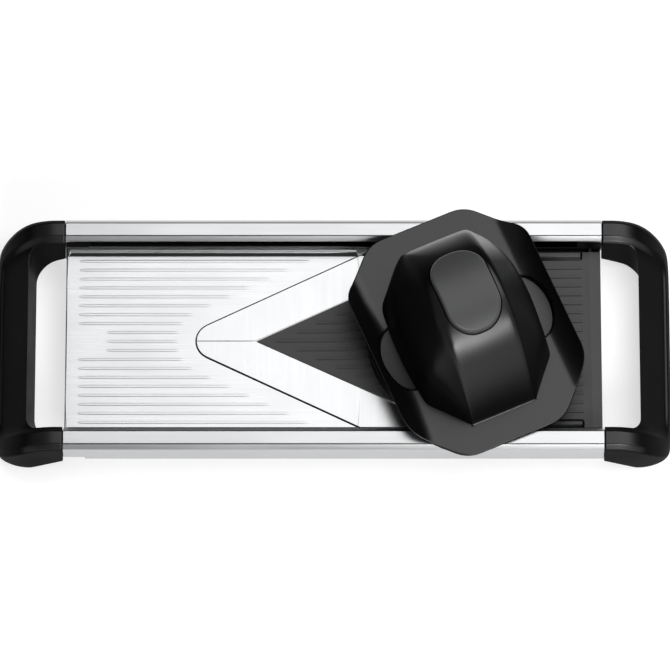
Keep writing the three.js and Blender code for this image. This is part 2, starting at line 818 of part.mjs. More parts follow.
// Plunger: pad, stem and spike plate move down together against the spring

const guideSeat = wellFloor + wellFloorThickness + gap;
const guideTop = guideSeat + guideFlange + guideTubeAbove;
const guideBottom = wellFloor - guideTubeBelow;
const hubTop = guideBottom - gap;
const spikePlateTop = hubTop - spikeHubHeight;
const spikePlateBottom = spikePlateTop - spikePlateThickness;

function thumbPad() {
  const skirtBottom = wellFloor + wellFloorThickness + plungerTravel + padFloorGap;
  const raised = domeForm(0, 0).translate(0, 0, padProud);
  const lowered = domeForm(padWall, 0).translate(0, 0, padProud);
  const body = common(raised, upright(padOutline(0), skirtBottom, domeHeight + 2 * padProud));
  const hollow = common(lowered, upright(padOutline(-padWall), skirtBottom - overrun, domeHeight));
  const boss = uprightRod(bossRadius, bossBottom, domeHeight - padWall, 0, -padOffset, 20);
  const socket = uprightRod(stemRadius + gap, bossBottom - overrun, bossBottom + stemSocket + gap,
    0, -padOffset);
  return cut(join(cut(body, hollow), boss), socket);
}

function plungerStem() {
  const bottom = spikePlateTop - spikePlateThickness / 2 + gap;
  const stem = uprightRod(stemRadius, bottom, bossBottom + stemSocket, 0, -padOffset);
  return cut(stem, screwHole(0, -padOffset, bottom - overrun,
    spikePlateBottom + plateScrewLength + gap));
}

function stemGuide() {
  const plate = upright(
    roundedRectangle(guideWidth, guideLength, guideWidth / 2 - overrun)
      .map((p) => new THREE.Vector2(p.x, p.y - padOffset)), guideSeat, guideSeat + guideFlange);
  const tube = uprightRod(guideTubeRadius, guideBottom, guideTop, 0, -padOffset);
  const bore = uprightRod(stemRadius + gap, guideBottom - overrun, guideTop + overrun,
    0, -padOffset);
  return cut(join(plate, tube), bore,
    ...guideHoles(guideSeat - overrun, guideSeat + guideFlange + overrun, screwRadius + gap));
}

function guideScrews() {
  const seat = guideSeat + guideFlange + gap;
  return sides.map((side) => {
    const y = -padOffset + side * guideScrewSpacing / 2;
    return join(
      uprightRod(screwHeadRadius, seat, seat + guideHeadHeight, 0, y, 12),
      uprightRod(screwRadius, seat - guideScrewLength, seat + guideHeadHeight / 2, 0, y, 10));
  });
}

class Helix extends THREE.Curve {
  getPoint(t, target = new THREE.Vector3()) {
    const low = guideSeat + guideFlange + gap + springWire / 2;
    const high = bossBottom - gap - springWire / 2;
    const angle = 2 * Math.PI * springTurns * t;
    return target.set(springRadius * Math.cos(angle), springRadius * Math.sin(angle) - padOffset,
      low + (high - low) * t);
  }
}

function plungerSpring() {
  const wire = new THREE.Shape(arcPoints(0, 0, springWire / 2, 0, 2 * Math.PI, 6).slice(1));
  return new THREE.ExtrudeGeometry(wire, {
    steps: 8 * springTurns, bevelEnabled: false, extrudePath: new Helix() });
}

function spikePlateOutline(inset) {
  return roundedRectangle(
    spikePlateWidth - 2 * inset, spikePlateLength - 2 * inset, spikePlateCorner - inset);
}

function spikePlate() {
  const stemBottom = spikePlateTop - spikePlateThickness / 2;
  return cut(
    join(upright(spikePlateOutline(0), spikePlateBottom, spikePlateTop),
      uprightRod(spikeHubRadius, spikePlateTop - overrun, hubTop, 0, -padOffset)),
    uprightRod(stemRadius + gap, stemBottom, hubTop + overrun, 0, -padOffset),
    screwHole(0, -padOffset, spikePlateBottom - overrun, hubTop));
}

function spikePlateScrew() {
  const seat = spikePlateBottom - 2 * gap - spikeDiscThickness;
  return screw(0, -padOffset, seat - guideHeadHeight, plateScrewLength, guideHeadHeight);
}

// A thin disc under the spike plate with a grid of spikes, leaving the middle to the screw.
function spikeDisc() {
  const top = spikePlateBottom - gap;
  const bottom = top - spikeDiscThickness;
  const disc = upright(spikePlateOutline(spikeDiscInset), bottom, top);
  const spikes = [-2, -1, 0, 1, 2].flatMap((row) => [-1, 0, 1].map((column) => [row, column]))
    .filter(([row, column]) => row !== 0 || column !== 0)
    .filter(([row, column]) => Math.abs(row) + Math.abs(column) < 3)
    .map(([row, column]) => new THREE.CylinderGeometry(
      spikeRadius, spikeRadius / 4, spikeLength, 8)
      .rotateX(Math.PI / 2)
      .translate(column * spikeSpacing, row * spikeSpacing, top - spikeLength / 2 - gap));
  return cut(join(disc, ...spikes), screwHole(0, -padOffset, bottom - overrun, top + overrun));
}

// Materials

function finish(color, roughness, metalness) {
  return new THREE.MeshStandardMaterial({ color, roughness, metalness });
}

const aluminium = finish(0xdfe2e3, 0.35, 1);
const stainless = finish(0xd6dadb, 0.25, 1);
const steel = finish(0xa9acad, 0.35, 1);
const blackPlastic = finish(0x24272a, 0.45, 0);
const guardPlastic = finish(0x2b2e30, 0.4, 0);
const greyPlastic = finish(0x4a4c4c, 0.5, 0);
const rubber = finish(0x2e2e2e, 0.9, 0);

// Assembly

function named(name, geometry, material) {
  const mesh = new THREE.Mesh(geometry, material);
  mesh.name = name;
  return mesh;
}

// Repeated pieces, numbered from 1.
function addEach(group, name, geometries, material) {
  geometries.forEach((geometry, i) => group.add(named(name + '_' + (i + 1), geometry, material)));
}

const slicer = new THREE.Group();

function addRails() {
  slicer.add(named('far_rail', rail(), aluminium));
  slicer.add(named('near_rail', mirrored(rail()), aluminium));
}

function addHandles() {
  for (const side of sides) {
    const end = new THREE.Group();
    end.position.set(side * railEnd, 0, 0);
    end.rotation.z = side > 0 ? 0 : Math.PI;
    const place = side > 0 ? 'right' : 'left';
    end.add(named(place + '_handle', handle(), blackPlastic));
    end.add(named(place + '_foot_pad', footPad(), rubber));
    slicer.add(end);
  }
  addEach(slicer, 'handle_screw', handleScrews(), steel);
}

function addBed() {
  slicer.add(named('landing_plate', landingPlate(), stainless));
  slicer.add(named('blade_carrier', bladeCarrier(), greyPlastic));
  slicer.add(named('far_blade', bladeHalf(1), stainless));
  slicer.add(named('near_blade', bladeHalf(-1), stainless));
  addEach(slicer, 'carrier_screw', carrierScrews(), steel);
}

function addRunway() {
  const tilted = new THREE.Group();
  tilted.position.set(pivotX, 0, pivotHeight);
  tilted.rotation.y = -runwayTilt;
  tilted.add(named('runway', runway(), greyPlastic));
  slicer.add(tilted);
  slicer.add(named('runway_pivot_rod', pivotRod(), steel));
}

function addDepthSetting() {
  slicer.add(named('depth_shaft', depthShaft(), steel));
  slicer.add(named('depth_wheel', depthWheel(), blackPlastic));
  addEach(slicer, 'bearing_screw', bearingScrews(), steel);
  for (const side of sides) {
    const place = side > 0 ? 'far' : 'near';
    slicer.add(named(place + '_cam', cam(side), blackPlastic));
    slicer.add(named(place + '_bearing_block', bearingBlock(side), blackPlastic));
  }
}

function addGuard() {
  const carriage = new THREE.Group();
  carriage.position.set(guardX, 0, flangeTop);
  carriage.add(named('guard_glide_ring', glideRing(), greyPlastic));
  const guard = new THREE.Group();
  guard.rotation.z = guardTurn;
  guard.add(named('guard_shell', guardShell(), guardPlastic));
  guard.add(named('stem_guide', stemGuide(), blackPlastic));
  addEach(guard, 'guide_screw', guideScrews(), steel);
  guard.add(named('plunger_spring', plungerSpring(), steel));
  guard.add(named('thumb_pad', thumbPad(), guardPlastic));
  guard.add(named('plunger_stem', plungerStem(), steel));
  guard.add(named('spike_plate', spikePlate(), blackPlastic));
  guard.add(named('spike_plate_screw', spikePlateScrew(), steel));
  guard.add(named('spike_disc', spikeDisc(), steel));
  carriage.add(guard);
  slicer.add(carriage);
}

addRails();
addHandles();
addBed();
addRunway();
addDepthSetting();
addGuard();

export default slicer;
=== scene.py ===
"""Vegetable slicer: the looks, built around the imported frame. The frame, the camera and the
lamps are in metres. The pieces' own sizes are in millimetres, and are multiplied by MM."""

import json
import math

import bpy
from mathutils import Matrix, Vector
from mathutils.bvhtree import BVHTree


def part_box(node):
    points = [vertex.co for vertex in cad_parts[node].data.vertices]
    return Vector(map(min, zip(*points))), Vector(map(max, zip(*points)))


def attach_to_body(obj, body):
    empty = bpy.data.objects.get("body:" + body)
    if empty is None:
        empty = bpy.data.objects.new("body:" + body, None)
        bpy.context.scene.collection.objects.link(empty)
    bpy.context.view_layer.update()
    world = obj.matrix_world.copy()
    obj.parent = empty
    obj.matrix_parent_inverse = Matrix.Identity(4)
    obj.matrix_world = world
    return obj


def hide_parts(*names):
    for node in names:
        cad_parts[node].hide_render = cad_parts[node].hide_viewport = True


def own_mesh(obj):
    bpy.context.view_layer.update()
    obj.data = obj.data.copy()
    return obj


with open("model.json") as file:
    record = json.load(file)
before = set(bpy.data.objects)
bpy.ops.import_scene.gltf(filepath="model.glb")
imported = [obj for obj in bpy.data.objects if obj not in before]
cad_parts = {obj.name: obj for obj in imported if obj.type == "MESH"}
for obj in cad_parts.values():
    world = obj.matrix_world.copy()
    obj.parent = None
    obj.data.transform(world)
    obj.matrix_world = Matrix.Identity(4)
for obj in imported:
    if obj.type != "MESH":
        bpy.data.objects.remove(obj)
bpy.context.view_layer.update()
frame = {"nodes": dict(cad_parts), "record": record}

MM = 0.001
SIDES = (-1, 1)

# Places read from the frame
RAIL_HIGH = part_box("far_rail")[1]
PLATE_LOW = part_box("landing_plate")[0]
RAIL_END = RAIL_HIGH.x
RAIL_TOP = RAIL_HIGH.z
NODE_BODY = {
    node: body
    for body, nodes in frame["record"]["behaviour"]["bodies"].items()
    for node in nodes
}
NODE_SLOT = {entry["node"]: entry["material_slot"] for entry in frame["record"]["subparts"]}

# The landing plate's start and its sheet's top, in millimetres
SHEET_THICKNESS = 1.4
PLATE_START = PLATE_LOW.x / MM
PLATE_TOP = PLATE_LOW.z / MM + SHEET_THICKNESS

# Camera, in metres
CAMERA_DISTANCE = 4.4
CAMERA_ELEVATION = math.radians(69.0)
VIEW_WIDTH = 0.410
VIEW_CENTRE = Vector((0.9 * MM, -1.6 * MM, RAIL_TOP))
SENSOR_WIDTH = 36.0
VIEW_LIMIT = 50

# Light and floor, in metres. Each lamp has its name, place, aim, size and power
LAMPS = (
    ("overhead", (0.7, 0.5, 1.5), (0, 0, 0), (2.1, 1.9), 26.0),
    ("front_key", (0.51, -1.15, 0.75), (0.08, 0, 0.05), (0.8, 0.42), 14.0),
)
SURROUND_LEVEL = 0.16
FLOOR_SIZE = 12
FLOOR_DROP = 0.2 * MM
FLOOR_GREY = 0.62
FLOOR_WHITE = 0.58
FLOOR_ROUGHNESS = 0.9
FLOOR_SHINE = 0.1

# Finishes. A painted sheen, a coat that stands in for highlights, shows on a side from the low to
# the high share of facing its direction
TOP_SHEEN_SIDE = (0.0, -0.4, 0.917)
TOP_SHEEN_LOW = 0.7
TOP_SHEEN_HIGH = 0.88
FAR_SIDE = (0.1, 0.995, 0.0)
FAR_SHEEN_LOW = 0.52
FAR_SHEEN_HIGH = 0.78
SMUDGE_SCALE = 34.0
CLOUD_SCALE = 22.0
CLOUD_SHARE = 0.4
STREAK_SHARE = 0.6
NOISE_MIDDLE = (0.3, 0.7)
NOISE_ROUGHNESS = 0.55
RELIEF_DEPTH = 0.05 * MM

# A rail's rounded edges get a painted dark line, which stands in for the dark reflection there.
# The normal's upward part fades a line in over the first pair and out over the second
UPWARDS = (0, 0, 1)
PAINTED_EDGE_START = (0.69, 0.76)
PAINTED_EDGE_END = (0.985, 0.93)

# Modelling. An added strip sinks this many millimetres into what it lies on
SINK = 0.1
CORNER_STEPS = 12
MERGE_DISTANCE = 0.004 * MM
SEAM_DISTANCE = 0.002 * MM
FLAT_ANGLE = 0.6


# Node groups

def node_group(name, inputs, outputs):
    """A shader group with its sockets.
    Each input is (label, kind, value), and each output (label, kind)."""
    group = bpy.data.node_groups.new(name, "ShaderNodeTree")
    for label, kind, value in inputs:
        socket = group.interface.new_socket(label, in_out="INPUT", socket_type="NodeSocket" + kind)
        socket.default_value = value
    for label, kind in outputs:
        group.interface.new_socket(label, in_out="OUTPUT", socket_type="NodeSocket" + kind)
    return group, group.nodes.new("NodeGroupInput"), group.nodes.new("NodeGroupOutput")


def noise(tree, vector, detail, scale=None, scale_from=None):
    """A noise over a vector. Its scale is a number, or comes from a socket."""
    made = tree.nodes.new("ShaderNodeTexNoise")
    made.inputs["Detail"].default_value = detail
    made.inputs["Roughness"].default_value = NOISE_ROUGHNESS
    tree.links.new(vector, made.inputs["Vector"])
    if scale_from is not None:
        tree.links.new(scale_from, made.inputs["Scale"])
    else:
        made.inputs["Scale"].default_value = scale
    return made.outputs["Fac"]


def between(tree, factor, low, high):
    """Maps a noise factor's middle range onto low to high."""
    made = tree.nodes.new("ShaderNodeMapRange")
    made.inputs["From Min"].default_value = NOISE_MIDDLE[0]
    made.inputs["From Max"].default_value = NOISE_MIDDLE[1]
    tree.links.new(factor, made.inputs["Value"])
    tree.links.new(low, made.inputs["To Min"])
    tree.links.new(high, made.inputs["To Max"])
    return made.outputs["Result"]


def mixed(tree, factor, first, second):
    made = tree.nodes.new("ShaderNodeMix")
    made.data_type = "RGBA"
    tree.links.new(factor, made.inputs["Factor"])
    tree.links.new(first, made.inputs["A"])
    tree.links.new(second, made.inputs["B"])
    return made.outputs["Result"]


def combined(tree, operation, first, second):
    """Two values put together by one of the Math node's operations."""
    made = tree.nodes.new("ShaderNodeMath")
    made.operation = operation
    tree.links.new(first, made.inputs[0])
    tree.links.new(second, made.inputs[1])
    return made.outputs["Value"]


def times_number(tree, value, number):
    made = tree.nodes.new("ShaderNodeMath")
    made.operation = "MULTIPLY"
    made.inputs[1].default_value = number
    tree.links.new(value, made.inputs[0])
    return made.outputs["Value"]


def smooth_step(tree, value, low, high):
    made = tree.nodes.new("ShaderNodeMapRange")
    made.interpolation_type = "SMOOTHSTEP"
    made.inputs["From Min"].default_value = low
    made.inputs["From Max"].default_value = high
    tree.links.new(value, made.inputs["Value"])
    return made.outputs["Result"]


def facing(tree, normal, direction):
    """How squarely a face looks in a direction: 1 is straight, and 0 is edge on."""
    made = tree.nodes.new("ShaderNodeVectorMath")
    made.operation = "DOT_PRODUCT"
    tree.links.new(normal, made.inputs[0])
    made.inputs[1].default_value = direction
    return made.outputs["Value"]


def painted_sheen_mask(tree, normal, side, low, high, amount):
    """A painted sheen mask: the coat shows on the faces that look one way, as a painted highlight.
    """
    rise = smooth_step(tree, facing(tree, normal, side), low, high)
    return combined(tree, "MULTIPLY", rise, amount)


def painted_edge_shade(tree, normal):
    """A mask for the painted dark line on the rounded edge between a rail's level top and its
    bevel.
    """
    rise = facing(tree, normal, UPWARDS)
    return combined(tree, "MULTIPLY", smooth_step(tree, rise, *PAINTED_EDGE_START),
                    smooth_step(tree, rise, *PAINTED_EDGE_END))


def moulded_group():
    """Injection-moulded plastic: a fine spark grain, with slow smudges left by handling."""
    group, enter, leave = node_group(
        "moulded_grain",
        [("Color", "Color", (0.02, 0.02, 0.02, 1)),
         ("Smudge Color", "Color", (0.03, 0.03, 0.03, 1)),
         ("Grain Scale", "Float", 1500.0), ("Low Roughness", "Float", 0.3),
         ("High Roughness", "Float", 0.4), ("Handled Polish", "Float", 1.0),
         ("Far Side Polish", "Float", 0.0)],
        [("Color", "Color"), ("Roughness", "Float"), ("Height", "Float"), ("Polish", "Float")])
    lookup = group.nodes.new("ShaderNodeTexCoord")
    place = lookup.outputs["Object"]
    grain = noise(group, place, detail=2.0, scale_from=enter.outputs["Grain Scale"])
    smudge = noise(group, place, detail=3.0, scale=SMUDGE_SCALE)
    links = group.links
    links.new(mixed(group, smudge, enter.outputs["Color"], enter.outputs["Smudge Color"]),
              leave.inputs["Color"])
    links.new(between(group, smudge, enter.outputs["Low Roughness"],
                      enter.outputs["High Roughness"]), leave.inputs["Roughness"])
    links.new(grain, leave.inputs["Height"])
    # Painted sheen: a coat on faces that look up and to the front, and on faces that look to the
    # far side, stands in for the highlights there
    normal = lookup.outputs["Normal"]
    tops = painted_sheen_mask(
        group, normal, TOP_SHEEN_SIDE, TOP_SHEEN_LOW, TOP_SHEEN_HIGH, enter.outputs["Handled Polish"])
    far = painted_sheen_mask(group, normal, FAR_SIDE, FAR_SHEEN_LOW, FAR_SHEEN_HIGH,
                      enter.outputs["Far Side Polish"])
    links.new(combined(group, "MAXIMUM", tops, far), leave.inputs["Polish"])
    return group


def brushed_group():
    """Rolled or ground metal: fine streaks along one direction, and a slow cloudiness."""
    group, enter, leave = node_group(
        "brushed_streaks",
        [("Color", "Color", (0.6, 0.6, 0.6, 1)), ("Streak Color", "Color", (0.5, 0.5, 0.5, 1)),
         ("Streak Stretch", "Vector", (20.0, 1200.0, 1200.0)), ("Low Roughness", "Float", 0.28),
         ("High Roughness", "Float", 0.4), ("Painted Edge Color", "Color", (0.05, 0.05, 0.05, 1)),
         ("Painted Edge Line", "Float", 0.0)],
        [("Color", "Color"), ("Roughness", "Float"), ("Height", "Float")])
    lookup = group.nodes.new("ShaderNodeTexCoord")
    place = lookup.outputs["Object"]
    stretch = group.nodes.new("ShaderNodeVectorMath")
    stretch.operation = "MULTIPLY"
    group.links.new(place, stretch.inputs[0])
    group.links.new(enter.outputs["Streak Stretch"], stretch.inputs[1])
    streaks = noise(group, stretch.outputs["Vector"], detail=3.0, scale=1.0)
    clouds = noise(group, place, detail=2.0, scale=CLOUD_SCALE)
    factor = combined(group, "ADD", times_number(group, clouds, CLOUD_SHARE),
                      times_number(group, streaks, STREAK_SHARE))
    links = group.links
    streaked = mixed(group, factor, enter.outputs["Color"], enter.outputs["Streak Color"])
    # Painted dark reflection: the edge colour is mixed into the metal on a rail's rounded edges
    line = combined(group, "MULTIPLY", painted_edge_shade(group, lookup.outputs["Normal"]),
                    enter.outputs["Painted Edge Line"])
    links.new(mixed(group, line, streaked, enter.outputs["Painted Edge Color"]), leave.inputs["Color"])
    links.new(between(group, factor, enter.outputs["Low Roughness"],
                      enter.outputs["High Roughness"]), leave.inputs["Roughness"])
    links.new(streaks, leave.inputs["Height"])
    return group


# Materials

def finish(name, group, values, bump, metallic=0.0, specular=0.5, coat_roughness=0.3,
           even_coat=None):
    """A material whose colour, roughness and fine relief come from a group with its own values.
    Its coat follows the group's polish output, which is a painted sheen mask, unless it has an
    even one."""
    made = bpy.data.materials.new(name)
    made.use_nodes = True
    tree = made.node_tree
    shader = tree.nodes["Principled BSDF"]
    shader.inputs["Metallic"].default_value = metallic
    shader.inputs["Specular IOR Level"].default_value = specular
    shader.inputs["Coat Roughness"].default_value = coat_roughness
    surface = tree.nodes.new("ShaderNodeGroup")
    surface.node_tree = group
    for label, value in values.items():
        surface.inputs[label].default_value = value
    relief = tree.nodes.new("ShaderNodeBump")
    relief.inputs["Strength"].default_value = bump
    relief.inputs["Distance"].default_value = RELIEF_DEPTH
    tree.links.new(surface.outputs["Color"], shader.inputs["Base Color"])
    tree.links.new(surface.outputs["Roughness"], shader.inputs["Roughness"])
    tree.links.new(surface.outputs["Height"], relief.inputs["Height"])
    tree.links.new(relief.outputs["Normal"], shader.inputs["Normal"])
    if even_coat is not None:
        shader.inputs["Coat Weight"].default_value = even_coat
    elif "Polish" in surface.outputs:
        tree.links.new(surface.outputs["Polish"], shader.inputs["Coat Weight"])
    return made


def grey(level, warmth=0.0):
    """A near-neutral colour; warmth tips it from blue-green to red."""
    return (level * (1 + warmth), level, level * (1 - warmth), 1)


def make_finishes():
    moulded = moulded_group()
    brushed = brushed_group()
    along_rails = (14.0, 1500.0, 1500.0)
    across_blade = (420.0, 18.0, 420.0)
    # The plastics' sheen amounts set how strongly their painted sheen coat shows
    return {
        "rail_aluminium": finish(
            "rail_aluminium", brushed,
            {"Color": grey(0.53, -0.012), "Streak Color": grey(0.49, -0.012),
             "Streak Stretch": along_rails, "Low Roughness": 0.3, "High Roughness": 0.38,
             # A painted dark line on the rail's rounded edges, for the dark reflection there
             "Painted Edge Color": grey(0.07), "Painted Edge Line": 1.0},
            bump=0.15, metallic=1.0),
        "stainless_sheet": finish(
            "stainless_sheet", brushed,
            {"Color": grey(0.55, -0.015), "Streak Color": grey(0.5, -0.015),
             "Streak Stretch": along_rails, "Low Roughness": 0.25, "High Roughness": 0.32},
            bump=0.08, metallic=1.0),
        "blade_steel": finish(
            "blade_steel", brushed,
            {"Color": grey(0.54, -0.01), "Streak Color": grey(0.52, -0.01),
             "Streak Stretch": across_blade, "Low Roughness": 0.26, "High Roughness": 0.31},
            bump=0.02, metallic=1.0),
        "plain_steel": finish(
            "plain_steel", brushed,
            {"Color": grey(0.42), "Streak Color": grey(0.34),
             "Streak Stretch": (500.0, 500.0, 500.0), "Low Roughness": 0.3,
             "High Roughness": 0.42},
            bump=0.1, metallic=1.0),
        "black_plastic": finish(
            "black_plastic", moulded,
            {"Color": grey(0.0025, -0.03), "Smudge Color": grey(0.004, -0.02),
             "Grain Scale": 1500.0, "Low Roughness": 0.4, "High Roughness": 0.5,
             "Handled Polish": 0.85},
            bump=0.18, specular=0.02, coat_roughness=0.36),
        "guard_plastic": finish(
            "guard_plastic", moulded,
            {"Color": grey(0.0025, -0.03), "Smudge Color": grey(0.004, -0.02),
             "Grain Scale": 1800.0, "Low Roughness": 0.34, "High Roughness": 0.42,
             "Handled Polish": 1.0, "Far Side Polish": 1.0},
            bump=0.1, specular=0.02, coat_roughness=0.31),
        "pad_plastic": finish(
            "pad_plastic", moulded,
            {"Color": grey(0.042, -0.015), "Smudge Color": grey(0.05, -0.015),
             "Grain Scale": 1800.0, "Low Roughness": 0.42, "High Roughness": 0.5},
            bump=0.15, specular=0.1, coat_roughness=0.4, even_coat=0.65),
        "grey_plastic": finish(
            "grey_plastic", moulded,
            {"Color": grey(0.03, -0.01), "Smudge Color": grey(0.038, -0.01),
             "Grain Scale": 1300.0, "Low Roughness": 0.46, "High Roughness": 0.56,
             "Handled Polish": 0.4},
            bump=0.25, specular=0.25, coat_roughness=0.5),
        "foot_rubber": finish(
            "foot_rubber", moulded,
            {"Color": grey(0.018), "Smudge Color": grey(0.03, 0.02),
             "Grain Scale": 2200.0, "Low Roughness": 0.7, "High Roughness": 0.85,
             "Handled Polish": 0.0},
            bump=0.5, specular=0.3),
    }


# Modelling helpers

def only(piece):
    """Selects one object, and nothing else, in object mode."""
    if bpy.context.object is not None and bpy.context.object.mode != "OBJECT":
        bpy.ops.object.mode_set(mode="OBJECT")
    bpy.ops.object.select_all(action="DESELECT")
    piece.select_set(True)
    bpy.context.view_layer.objects.active = piece


def edit_all(piece):
    """Opens one piece in edit mode with all of it selected."""
    only(piece)
    bpy.ops.object.mode_set(mode="EDIT")
    bpy.ops.mesh.select_all(action="SELECT")


def end_edit():
    bpy.ops.object.mode_set(mode="OBJECT")


def apply_place(piece):
    """Moves a piece's place, turn and scale into its mesh."""
    only(piece)
    bpy.ops.object.transform_apply(location=True, rotation=True, scale=True)


def modify(piece, kind, **settings):
    """Adds one modifier with its settings and applies it."""
    modifier = piece.modifiers.new(kind.title(), kind)
    for label, value in settings.items():
        setattr(modifier, label, value)
    only(piece)
    bpy.ops.object.modifier_apply(modifier=modifier.name)


def soften_edges(piece, width, steps=2, angle=28.0):
    """Breaks every sharp edge with a small radius, and shades the rest smooth."""
    modify(piece, "BEVEL", width=width, segments=steps, limit_method="ANGLE",
           angle_limit=math.radians(angle), use_clamp_overlap=False,
           miter_outer="MITER_ARC")
    smooth_shading(piece, angle)


def smooth_shading(piece, angle):
    """Shades shallow edges smooth, and keeps the large faces flat."""
    only(piece)
    bpy.ops.object.shade_smooth_by_angle(angle=math.radians(angle))
    modify(piece, "WEIGHTED_NORMAL", keep_sharp=True)


def paint(piece, material):
    piece.data.materials.clear()
    piece.data.materials.append(material)


def settle(piece, body, slot, *nodes):
    """The piece rides on a body and stands for CAD nodes. Its slot is not used."""
    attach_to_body(piece, body)
    if nodes:
        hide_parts(*nodes)


def complete(piece, body, slot, *nodes):
    """Paints a piece with the finish of its slot's name, and settles it."""
    paint(piece, finishes[slot])
    settle(piece, body, slot, *nodes)


def far_or_near(side, name):
    return ("far_" if side > 0 else "near_") + name


def right_or_left(end, name):
    return ("right_" if end > 0 else "left_") + name


def copy_of_node(node, name, tidy=True):
    """A CAD node's shape as a piece of its own, with its loose triangles merged.
    Tidying also dissolves the lines that cross its flat faces."""
    source = frame["nodes"][node]
    piece = source.copy()
    piece.data = source.data.copy()
    piece.name = name
    piece.data.name = name
    for label in list(piece.keys()):
        del piece[label]
    bpy.context.scene.collection.objects.link(piece)
    piece.parent = None
    piece.matrix_world = Matrix.Identity(4)
    edit_all(piece)
    bpy.ops.mesh.remove_doubles(threshold=MERGE_DISTANCE)
    bpy.ops.mesh.customdata_custom_splitnormals_clear()
    if tidy:
        bpy.ops.mesh.dissolve_limited(angle_limit=math.radians(FLAT_ANGLE))
    end_edit()
    return piece


def dress_node(node, slot, width):
    """Softens the edges of a CAD node's shape and puts its finish on."""
    piece = copy_of_node(node, node + "_piece")
    soften_edges(piece, width)
    complete(piece, NODE_BODY[node], slot, node)


def woven(name, rows, wrap=False):
    """A sheet of quads through rows of points in millimetres, started as a grid.
    A wrapped sheet's rows run round and meet themselves."""
    if wrap:
        rows = [list(row) + [row[0]] for row in rows]
    bpy.ops.object.select_all(action="DESELECT")
    bpy.ops.mesh.primitive_grid_add(
        x_subdivisions=len(rows[0]) - 1, y_subdivisions=len(rows) - 1, size=1)
    piece = bpy.context.object
    piece.name = name
    piece.data.name = name
    places = [point for row in rows for point in row]
    for vertex, place in zip(piece.data.vertices, places):
        vertex.co = Vector(place) * MM
    return piece


def close_seam(piece, fill=False):
    """Merges the seam of a wrapped sheet, fills open ends if asked, and turns faces out."""
    edit_all(piece)
    bpy.ops.mesh.remove_doubles(threshold=SEAM_DISTANCE)
    if fill:
        bpy.ops.mesh.fill_holes(sides=0)
        bpy.ops.mesh.select_all(action="SELECT")
    bpy.ops.mesh.normals_make_consistent(inside=False)
    end_edit()


def crease(piece, columns, sharpness):
    """Sets creases on a fresh sheet. sharpness is a function of the (row, column) of both ends."""
    layer = piece.data.attributes.new("crease_edge", "FLOAT", "EDGE")
    for edge in piece.data.edges:
        ends = sorted(divmod(index, columns) for index in edge.vertices)
        layer.data[edge.index].value = sharpness(*ends)


def combine(piece, other, operation):
    """Joins, cuts or intersects a piece with another, which is used up."""
    modify(piece, "BOOLEAN", object=other, operation=operation, solver="EXACT")
    bpy.data.objects.remove(other)


def attach(piece, *others):
    """Makes other pieces part of this one."""
    only(piece)
    for other in others:
        other.select_set(True)
    bpy.ops.object.join()


def rounded_outline(corners, reach, count):
    """Evenly spaced points round a polygon whose corners are rounded over a reach each way."""
    curve = []
    for index, corner in enumerate(corners):
        here = Vector(corner)
        before = Vector(corners[index - 1])
        after = Vector(corners[(index + 1) % len(corners)])
        start = here + (before - here).normalized() * reach
        end = here + (after - here).normalized() * reach
        for step in range(CORNER_STEPS + 1):
            share = step / CORNER_STEPS
            curve.append(start.lerp(here, share).lerp(here.lerp(end, share), share))
    return evenly_spaced(curve, count)


def rounded_rectangle(half_width, half_length, radius, count):
    """Evenly spaced points round a rectangle with round corners, from the middle of a side."""
    curve = []
    for quarter in range(4):
        turn = math.pi / 2 * quarter
        across = half_width - radius if quarter in (0, 3) else radius - half_width
        along = half_length - radius if quarter in (0, 1) else radius - half_length
        for step in range(CORNER_STEPS + 1):
            angle = turn + math.pi / 2 * step / CORNER_STEPS
            curve.append(Vector((across + radius * math.cos(angle),
                                 along + radius * math.sin(angle))))
    return evenly_spaced(curve, count)


def evenly_spaced(curve, count):
    """The points at equal steps along a closed line."""
    loop = curve + [curve[0]]
    lengths = [(b - a).length for a, b in zip(loop, loop[1:])]
    step = sum(lengths) / count
    found = []
    passed = 0.0
    wanted = 0.0
    for start, end, length in zip(loop, loop[1:], lengths):
        while length > 0 and wanted < passed + length and len(found) < count:
            found.append(start.lerp(end, (wanted - passed) / length))
            wanted += step
        passed += length
    return found


# Pieces that keep their CAD shape, with their edge radius in millimetres

EDGE_RADII = {
    "rail_aluminium": {"far_rail": 0.6, "near_rail": 0.6},
    "blade_steel": {"far_blade": 0.15, "near_blade": 0.15},
    "black_plastic": {
        "blade_carrier": 0.3,
        "far_bearing_block": 0.6, "near_bearing_block": 0.6, "depth_wheel": 0.3,
        "far_cam": 0.3, "near_cam": 0.3, "guard_glide_ring": 0.4, "stem_guide": 0.3,
        "spike_plate": 0.4, "plunger_stem": 0.2,
    },
    "foot_rubber": {"left_foot_pad": 0.5, "right_foot_pad": 0.5},
}


def dress_cad_shapes():
    for slot, radii in EDGE_RADII.items():
        for node, radius in radii.items():
            dress_node(node, slot, radius * MM)


def model_runway():
    runway = copy_of_node("runway", "runway_piece", tidy=False)
    smooth_shading(runway, angle=24)
    complete(runway, NODE_BODY["runway"], "grey_plastic", "runway")


def finish_plain_nodes():
    """Screws, rods and spikes keep their CAD mesh and take their slot's finish."""
    for node, source in frame["nodes"].items():
        if source.hide_render:
            continue
        paint(source, finishes[NODE_SLOT[node]])


# Rail grooves, in millimetres: a thin black sheet lies on each groove's floor and lower side as
# painted shade, and a thin plate at each end carries that painted shade on to the handle

